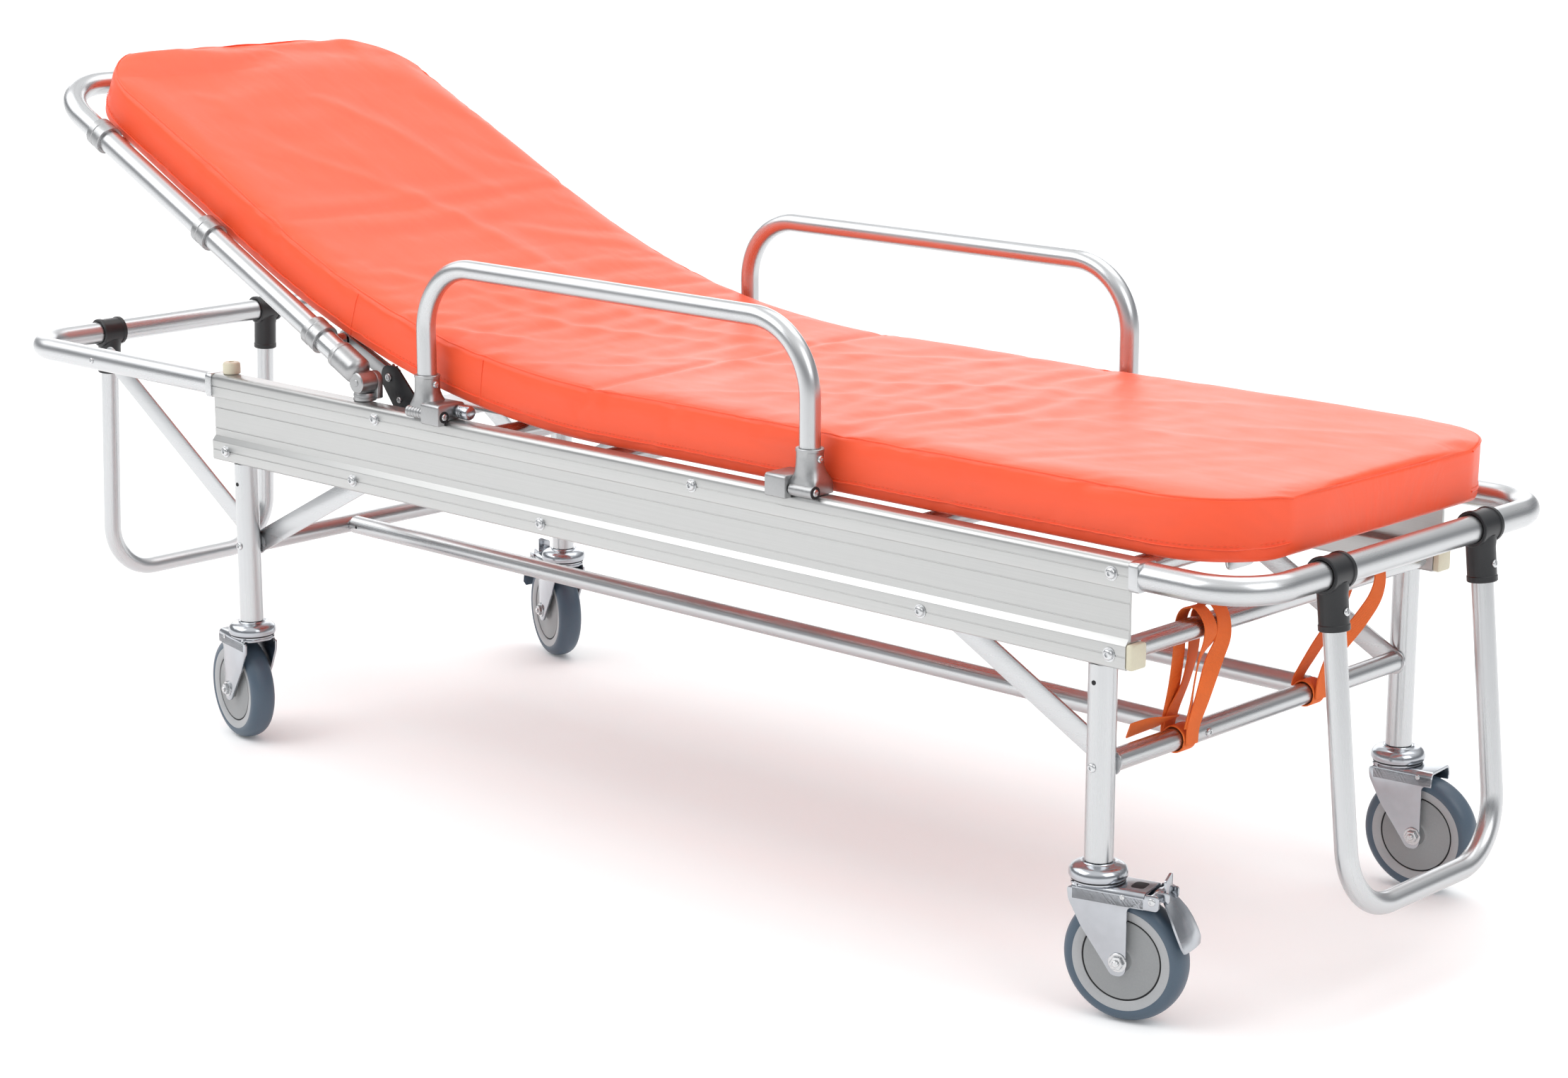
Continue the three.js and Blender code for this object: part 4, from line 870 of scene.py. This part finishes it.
def pad_mesh():
    """Rings of points along the pad, in millimetres, and where each lies on the flat cover."""
    steps = [k * STATION_STEP for k in range(1, int(PAD_LENGTH / STATION_STEP) + 1)]
    plain = [d for d in steps if END_ZONE < d < PAD_LENGTH - END_ZONE]
    ends = [END_ZONE * (1 - math.cos(math.pi / 2 * k / 12)) for k in range(13)]
    stations = sorted(ends + [PAD_LENGTH - e for e in ends] + plain)
    rings, flat = [], []
    for d in stations:
        share = d / PAD_LENGTH
        top, low = 8.5 - 3.5 * share, 4
        head, foot = corner_cut(d + 0.4, HEAD_CORNER), corner_cut(PAD_LENGTH - d + 0.4, FOOT_CORNER)
        half = HALF - max(head, foot)
        end = min(d, PAD_LENGTH - d)
        squeeze = corner_cut(end + 0.5, 12 if d < 400 else 8)
        place, up = pad_station(d)
        thick = THICK - 5 * max(0, 1 - d / 240) - 1.7 * squeeze
        section = pad_section(half, thick, top, low)
        rings.append([(place.x + up.x * p.y, p.x, place.y + up.y * p.y) for p in section])
        flat.append([(d, p.x + math.copysign(THICK / 2 - p.y, p.x) if abs(p.x) > half - 1 else p.x, p.y)
                     for p in section])
    return rings, flat


def cover_folds(d, y):
    """How far the loose cover stands proud of the foam here, in millimetres: long shallow diagonal folds."""
    total = 0.0
    for at, across_at, angle, length, width, height in FOLDS:
        c, s = math.cos(math.radians(angle)), math.sin(math.radians(angle))
        along, off = (d - at) * c + (y - across_at) * s, -(d - at) * s + (y - across_at) * c
        off += 9 * math.sin(along / 55.0 + at)
        total += height * math.exp(-((along / length) ** 2)) * (1.25 * math.exp(-abs(off) / width) - 0.4 * math.exp(
            -(((off - 1.7 * width) / (1.3 * width)) ** 2)))
    place = Vector((d * 0.0042, y * 0.0075, 0))
    total += 0.5 * noise.fractal(place, 1.0, 2.0, 2) + 0.3 * noise.noise(Vector((d * 0.021, y * 0.03, 5.0)))
    return total


# Each fold: place along and across the flat cover, angle in degrees, length, width, height
FOLDS = (
    (250, 60, 24, 150, 15, 2.4), (330, -60, 32, 120, 12, 2.0), (520, 30, 12, 210, 18, 2.6),
    (620, -120, 40, 120, 11, 2.8), (655, -215, 62, 60, 8, 4.0), (735, -205, 50, 80, 9, 4.4),
    (775, -60, 28, 190, 13, 3.0), (800, -220, 58, 45, 8, 3.0), (850, 60, 20, 200, 16, 2.6),
    (900, -170, 48, 90, 9, 2.8), (1010, -40, 30, 180, 14, 2.4), (1090, 110, 22, 140, 12, 2.0),
    (1180, -120, 38, 120, 11, 2.2), (1260, 20, 26, 190, 14, 2.2), (1390, -60, 16, 170, 13, 1.8),
    (1480, 100, 30, 140, 12, 1.7), (1590, -20, 20, 180, 13, 1.9), (1690, 90, 34, 110, 11, 1.5),
)


def simulate(pad, rest, ups):
    """The cover's fill: cloth under a little air pressure, slightly larger than the foam, held along its underside."""
    group = pad.vertex_groups.new(name="held")
    for index, up in enumerate(ups):
        group.add([index], 1.0 if up < -0.9 else 0.12, "REPLACE")
    cloth = pad.modifiers.new("cloth", "CLOTH")
    settings = cloth.settings
    for key, value in CLOTH.items():
        setattr(settings, key, value)
    settings.effector_weights.gravity = 0
    cloth.collision_settings.use_collision = False
    scene = bpy.context.scene
    scene.frame_start, scene.frame_end = 1, SIM_FRAMES
    for step in range(1, SIM_FRAMES + 1):
        scene.frame_set(step)
    shown = pad.evaluated_get(bpy.context.evaluated_depsgraph_get())
    moved = np.empty(len(rest) * 3)
    shown.data.vertices.foreach_get("co", moved)
    pad.modifiers.remove(cloth)
    scene.frame_set(1)
    return moved.reshape(-1, 3) / MM - rest


def build_mattress():
    rings, flat = pad_mesh()
    count, n = len(rings), len(rings[0])
    rest = np.array([p for ring in rings for p in ring], float)
    shape = Shape().rings(rings, 0, flat, caps=False)
    for base in (0, (count - 1) * n):
        for j in range(n // 2):
            face = (base + j, base + j + 1, base + (n - j - 1) % n, base + (n - j) % n)
            shape.faces.append(tuple(dict.fromkeys(face)))
    mesh = bpy.data.meshes.new("mattress_pad")
    mesh.from_pydata([p * MM for p in shape.points], [], [f for f in shape.faces if len(f) > 2])
    pad = add_object("mattress_pad", mesh)
    face_outward(mesh)
    normals = np.empty(len(rest) * 3)
    mesh.vertices.foreach_get("normal", normals)
    normals = normals.reshape(-1, 3)
    heights = np.array([p[2] for ring in flat for p in ring])
    ups = np.where(heights < -THICK / 2 + 4, -1.0, 1.0)
    swell = np.zeros_like(rest)
    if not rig.quick():
        swell = simulate(pad, rest, ups)
        size = np.linalg.norm(swell, axis=1, keepdims=True)
        swell *= np.minimum(1, SWELL_LIMIT / np.maximum(size, 1e-6))
    proud = np.zeros(len(rest))
    for index, (d, y, h) in enumerate(p for ring in flat for p in ring):
        if h > THICK / 2 - 1:
            proud[index] = cover_folds(d, y)
        elif h > -THICK / 2 + 6:
            fade = (h + THICK / 2 - 6) / (THICK - 7)
            edge = math.copysign(HALF, y)
            proud[index] = fade * cover_folds(d, edge) * 0.8 + (1 - fade) * 0.8 * noise.noise(
                Vector((d * 0.012, 7.0, math.copysign(4, y))))
    placed = rest + swell + normals * proud[:, None]
    placed[:, 1] = np.clip(placed[:, 1], -SIDE_LIMIT, SIDE_LIMIT)
    mesh.vertices.foreach_set("co", (placed * MM).ravel())
    write_flow(mesh, shape.flow)
    mesh.materials.append(COVER)
    mesh.shade_smooth()
    smooth = pad.modifiers.new("subdivision", "SUBSURF")
    smooth.levels = smooth.render_levels = 1
    start, end = pad_station(BACK_RUN + BEND_RADIUS * BACK_ANGLE)[0], pad_station(BACK_RUN)[0]
    span = {"start": (start.x * MM, 0, start.y * MM), "end": (end.x * MM, 0, end.y * MM)}
    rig.blend(pad, "frame", "backrest", **span)
    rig.slot(pad, "mattress_cover")
    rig.replaces(pad, "mattress_seat", "mattress_back")
    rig.padded(pad, fill=0.7)
    return placed.reshape(count, n, 3), flat, span


placed, flat, span = build_mattress()


# ---- Seams and stitching of the mattress ----
def along_row(row, step):
    """Points a fixed distance apart along a polyline."""
    made, carry = [], 0.0
    for a, b in zip(row, row[1:]):
        length = (b - a).length
        while carry <= length and length > 0:
            made.append(a.lerp(b, carry / length))
            carry += step
        carry -= length
    return made


def piping(shape, row, radius, sides=8):
    """A thin round welt along a polyline."""
    rings, flow, run = [], [], 0.0
    for k, p in enumerate(row):
        direction = (row[min(k + 1, len(row) - 1)] - row[max(k - 1, 0)]).normalized()
        axis, u, v = across(direction)
        run += (p - row[k - 1]).length if k else 0
        rings.append([p + (u * a + v * b) * radius for a, b in circle(sides)])
        flow.append([Vector((run, radius * a, radius * b)) for a, b in circle(sides)])
    shape.rings(rings, 0, flow)


def mattress_seams():
    def line(column):
        return [Vector(ring[column]) for ring in placed[1:-1]]

    _, widths, heights = zip(*flat[len(flat) // 2])
    n, level = len(heights), -THICK / 2 + 9
    welts, stitches = Shape(), Shape()
    for sign in (-1, 1):
        column = min((j for j in range(n) if widths[j] * sign > HALF - 2), key=lambda j: abs(heights[j] - level))
        row = line(column)
        piping(welts, row, 0.9)
        crown = min((j for j in range(n) if widths[j] * sign > 0), key=lambda j: abs(
            abs(widths[j]) - HALF + 2.2) + abs(heights[j] - THICK / 2 + 2.2))
        piping(welts, line(crown), 1.1)
        lift = Vector((0, sign * 0.25, 3.4))
        dots = along_row([p + lift for p in row], 3.0)
        for a, b in zip(dots[0::2], dots[1::2]):
            stitches.rod(a, b, 0.42, 6, 0.15)
    side = [j for j in range(n) if widths[j] < -HALF + 1 and heights[j] > -THICK / 2 + 3]
    for at in (-112, -330):
        i = min(range(len(placed)), key=lambda k: abs(placed[k][side[0]][0] - at))
        piping(welts, [Vector(placed[i][j]) for j in side], 0.8)
    for name, shape, paint in (("mattress_welts", welts, COVER), ("mattress_stitches", stitches, THREAD)):
        made = shape.make(name, [paint], None, "mattress_cover")
        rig.blend(made, "frame", "backrest", **span)


mattress_seams()


# ---- Webbing straps at the foot end ----
def smooth_path(points, steps=8):
    """A smooth curve through points that each carry a width direction, which is across the trolley if left out."""
    made, points = [], [(*p, 0, 1, 0)[:6] for p in points]
    for i in range(len(points) - 1):
        p = [np.array(points[max(0, min(len(points) - 1, i + k))], float) for k in (-1, 0, 1, 2)]
        for s in range(steps):
            t = s / steps
            made.append(0.5 * (2 * p[1] + (p[2] - p[0]) * t + (2 * p[0] - 5 * p[1] + 4 * p[2] - p[3]) * t * t
                               + (3 * p[1] - p[0] - 3 * p[2] + p[3]) * t**3))
    made.append(np.array(points[-1], float))
    return [(Vector(m[:3]), Vector(m[3:])) for m in made]


def ribbon(shape, points, width=19.0, thick=1.7):
    """Flat webbing along points, its edges rounded."""
    path = smooth_path(points)
    rings, flow, run = [], [], 0.0
    w, t = width / 2, thick / 2
    below = [(a, -t) for a in (-w + 0.6, -w / 2, 0, w / 2, w - 0.6)]
    section = [*below, (w, 0), *[(-a, -b) for a, b in below], (-w, 0)]
    for k, (p, wide) in enumerate(path):
        direction = (path[min(k + 1, len(path) - 1)][0] - path[max(k - 1, 0)][0]).normalized()
        wide = (wide - direction * wide.dot(direction)).normalized()
        normal = direction.cross(wide)
        run += (p - path[k - 1][0]).length if k else 0
        rings.append([p + wide * a + normal * b for a, b in section])
        flow.append([Vector((run, a, b)) for a, b in section])
    shape.rings(rings, 0, flow)


def strap_ring(shape, y, radius=12.9, width=20):
    """Webbing wound round the lower cross tube."""
    turns = [(LEG_X["foot"] + radius * a, y, LOWER_Z + radius * b) for a, b in (*circle(12), (1, 0))]
    ribbon(shape, turns, width, 1.6)


right_strap = Shape()
strap_ring(right_strap, -134.5)
ribbon(right_strap, [
    (798.8, -134, 243), (799.6, -133, 262, 0.1, 1, 0), (805, -127, 290, 0.3, 1, 0.1),
    (812, -121, 325, 0.5, 0.85, 0.1), (818, -115, 350, 0.3, 1, 0.1), (815, -113, 372, 0, 1, 0.1),
    (803, -115, 385), (791, -118, 375), (788, -119, 358), (788, -122, 330, -0.1, 1, 0),
    (783, -126, 300, -0.2, 1, 0), (774, -132, 272), (769.4, -134, 250)])
ribbon(right_strap, [
    (797.2, -136, 259), (797, -134, 285, -0.5, 0.85, 0), (802, -131, 325, -0.5, 0.85, 0),
    (814.2, -132, 350), (815.3, -134, 367, 0, 1, -0.1), (806, -138, 381, 0, 1, -0.1), (794, -142, 379),
    (788, -143, 364), (786, -142, 335), (779, -138, 300), (771, -136, 266),
    (768.8, -135, 252)], 18.5)
ribbon(right_strap, [
    (772, -130, 262.4, 0.8, 0, 0.5), (772, -150, 263.4, 0.7, 0, 0.7), (770, -172, 264.2, 0.5, 0.1, 0.85),
    (767, -193, 262.6, 0.45, 0.2, 0.9)], 18.5)
right_strap.make("strap_webbing_right", [WEBBING], "frame", "webbing", ["strap_right"])
left_strap = Shape()
strap_ring(left_strap, 84)
ribbon(left_strap, [
    (798.8, 84, 243), (800, 87, 264, 0.1, 1, 0), (804, 104, 292, 0.3, 0.9, -0.2), (812, 130, 318, 0.3, 0.8, -0.4),
    (818, 148, 342, 0.2, 0.9, -0.3), (817.5, 154, 366), (804, 153, 384), (790.5, 151, 374),
    (787, 147, 352), (784, 128, 318, 0, 1, -0.3), (777, 102, 286, 0, 1, -0.3), (770, 88, 262),
    (769.2, 84, 250)])
left_strap.make("strap_webbing_left", [WEBBING], "frame", "webbing", ["strap_left"])


# ---- Stage, lights and view ----
def stage_setup():
    floor_mesh = bpy.data.meshes.new("floor")
    reach, level = 300, -0.0006
    corners = [(a * reach, b * reach, level) for a, b in ((-1, -1), (1, -1), (1, 1), (-1, 1))]
    floor_mesh.from_pydata(corners, [], [(0, 1, 2, 3)])
    floor = add_object("floor", floor_mesh)
    paint = bpy.data.materials.new("pale_floor")
    paint.use_nodes = True
    shader = paint.node_tree.nodes["Principled BSDF"]
    for key, value in (("Base Color", (0.93, 0.93, 0.93, 1)), ("Roughness", 0.9), ("Emission Color", (1, 1, 1, 1)),
                       ("Emission Strength", 0.1)):
        shader.inputs[key].default_value = value
    floor_mesh.materials.append(paint)
    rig.stage(floor)
    world = bpy.data.worlds.new("studio")
    bpy.context.scene.world = world
    world.use_nodes = True
    tree = world.node_tree
    where = add_node(tree, "TexCoord").outputs["Generated"]
    height = add_node(tree, "SeparateXYZ", {"Vector": where}).outputs["Z"]
    ramp = add_node(tree, "ValToRGB", {"Fac": height})
    for stop, position, level in zip(ramp.color_ramp.elements, (0.0, 0.75), (0.72, 1.15)):
        stop.position, stop.color = position, (level, level, level, 1)
    for position, level in ((0.05, 0.62), (0.12, 0.38), (0.3, 0.34)):
        ramp.color_ramp.elements.new(position).color = (level, level * 1.02, level * 1.06, 1)
    background = tree.nodes["Background"]
    tree.links.new(ramp.outputs["Color"], background.inputs["Color"])
    background.inputs["Strength"].default_value = 0.95
    for name, at, aim, wide, high, power in (
        ("key", (-1.5, -3.2, 3.4), (0, 0, 0.4), 2.6, 2.6, 55),
        ("side", (-3.2, -1.2, 3.2), (0, 0, 0.4), 3.0, 3.0, 40),
        ("fill", (3.4, -0.4, 2.6), (0, 0, 0.4), 2.2, 2.2, 30),
        ("back", (-10.5, 10.5, 4.6), (0, 0, 0.5), 16.0, 7.0, 560),
        ("over", (0.2, 1.4, 3.6), (0, 0, 0.4), 3.0, 3.0, 36),
    ):
        data = bpy.data.lights.new(name, "AREA")
        data.shape, data.energy, data.size, data.size_y = "RECTANGLE", power, wide, high
        lamp = add_object(name, data)
        lamp.location = at
        lamp.rotation_euler = (Vector(aim) - Vector(at)).to_track_quat("-Z", "Y").to_euler()
    bpy.context.scene.view_settings.view_transform = "Standard"


stage_setup()
visual_low, visual_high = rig.bounds()
with open("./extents.json", "w") as f:
    json.dump([list(cad_low), list(cad_high), list(visual_low), list(visual_high)], f)
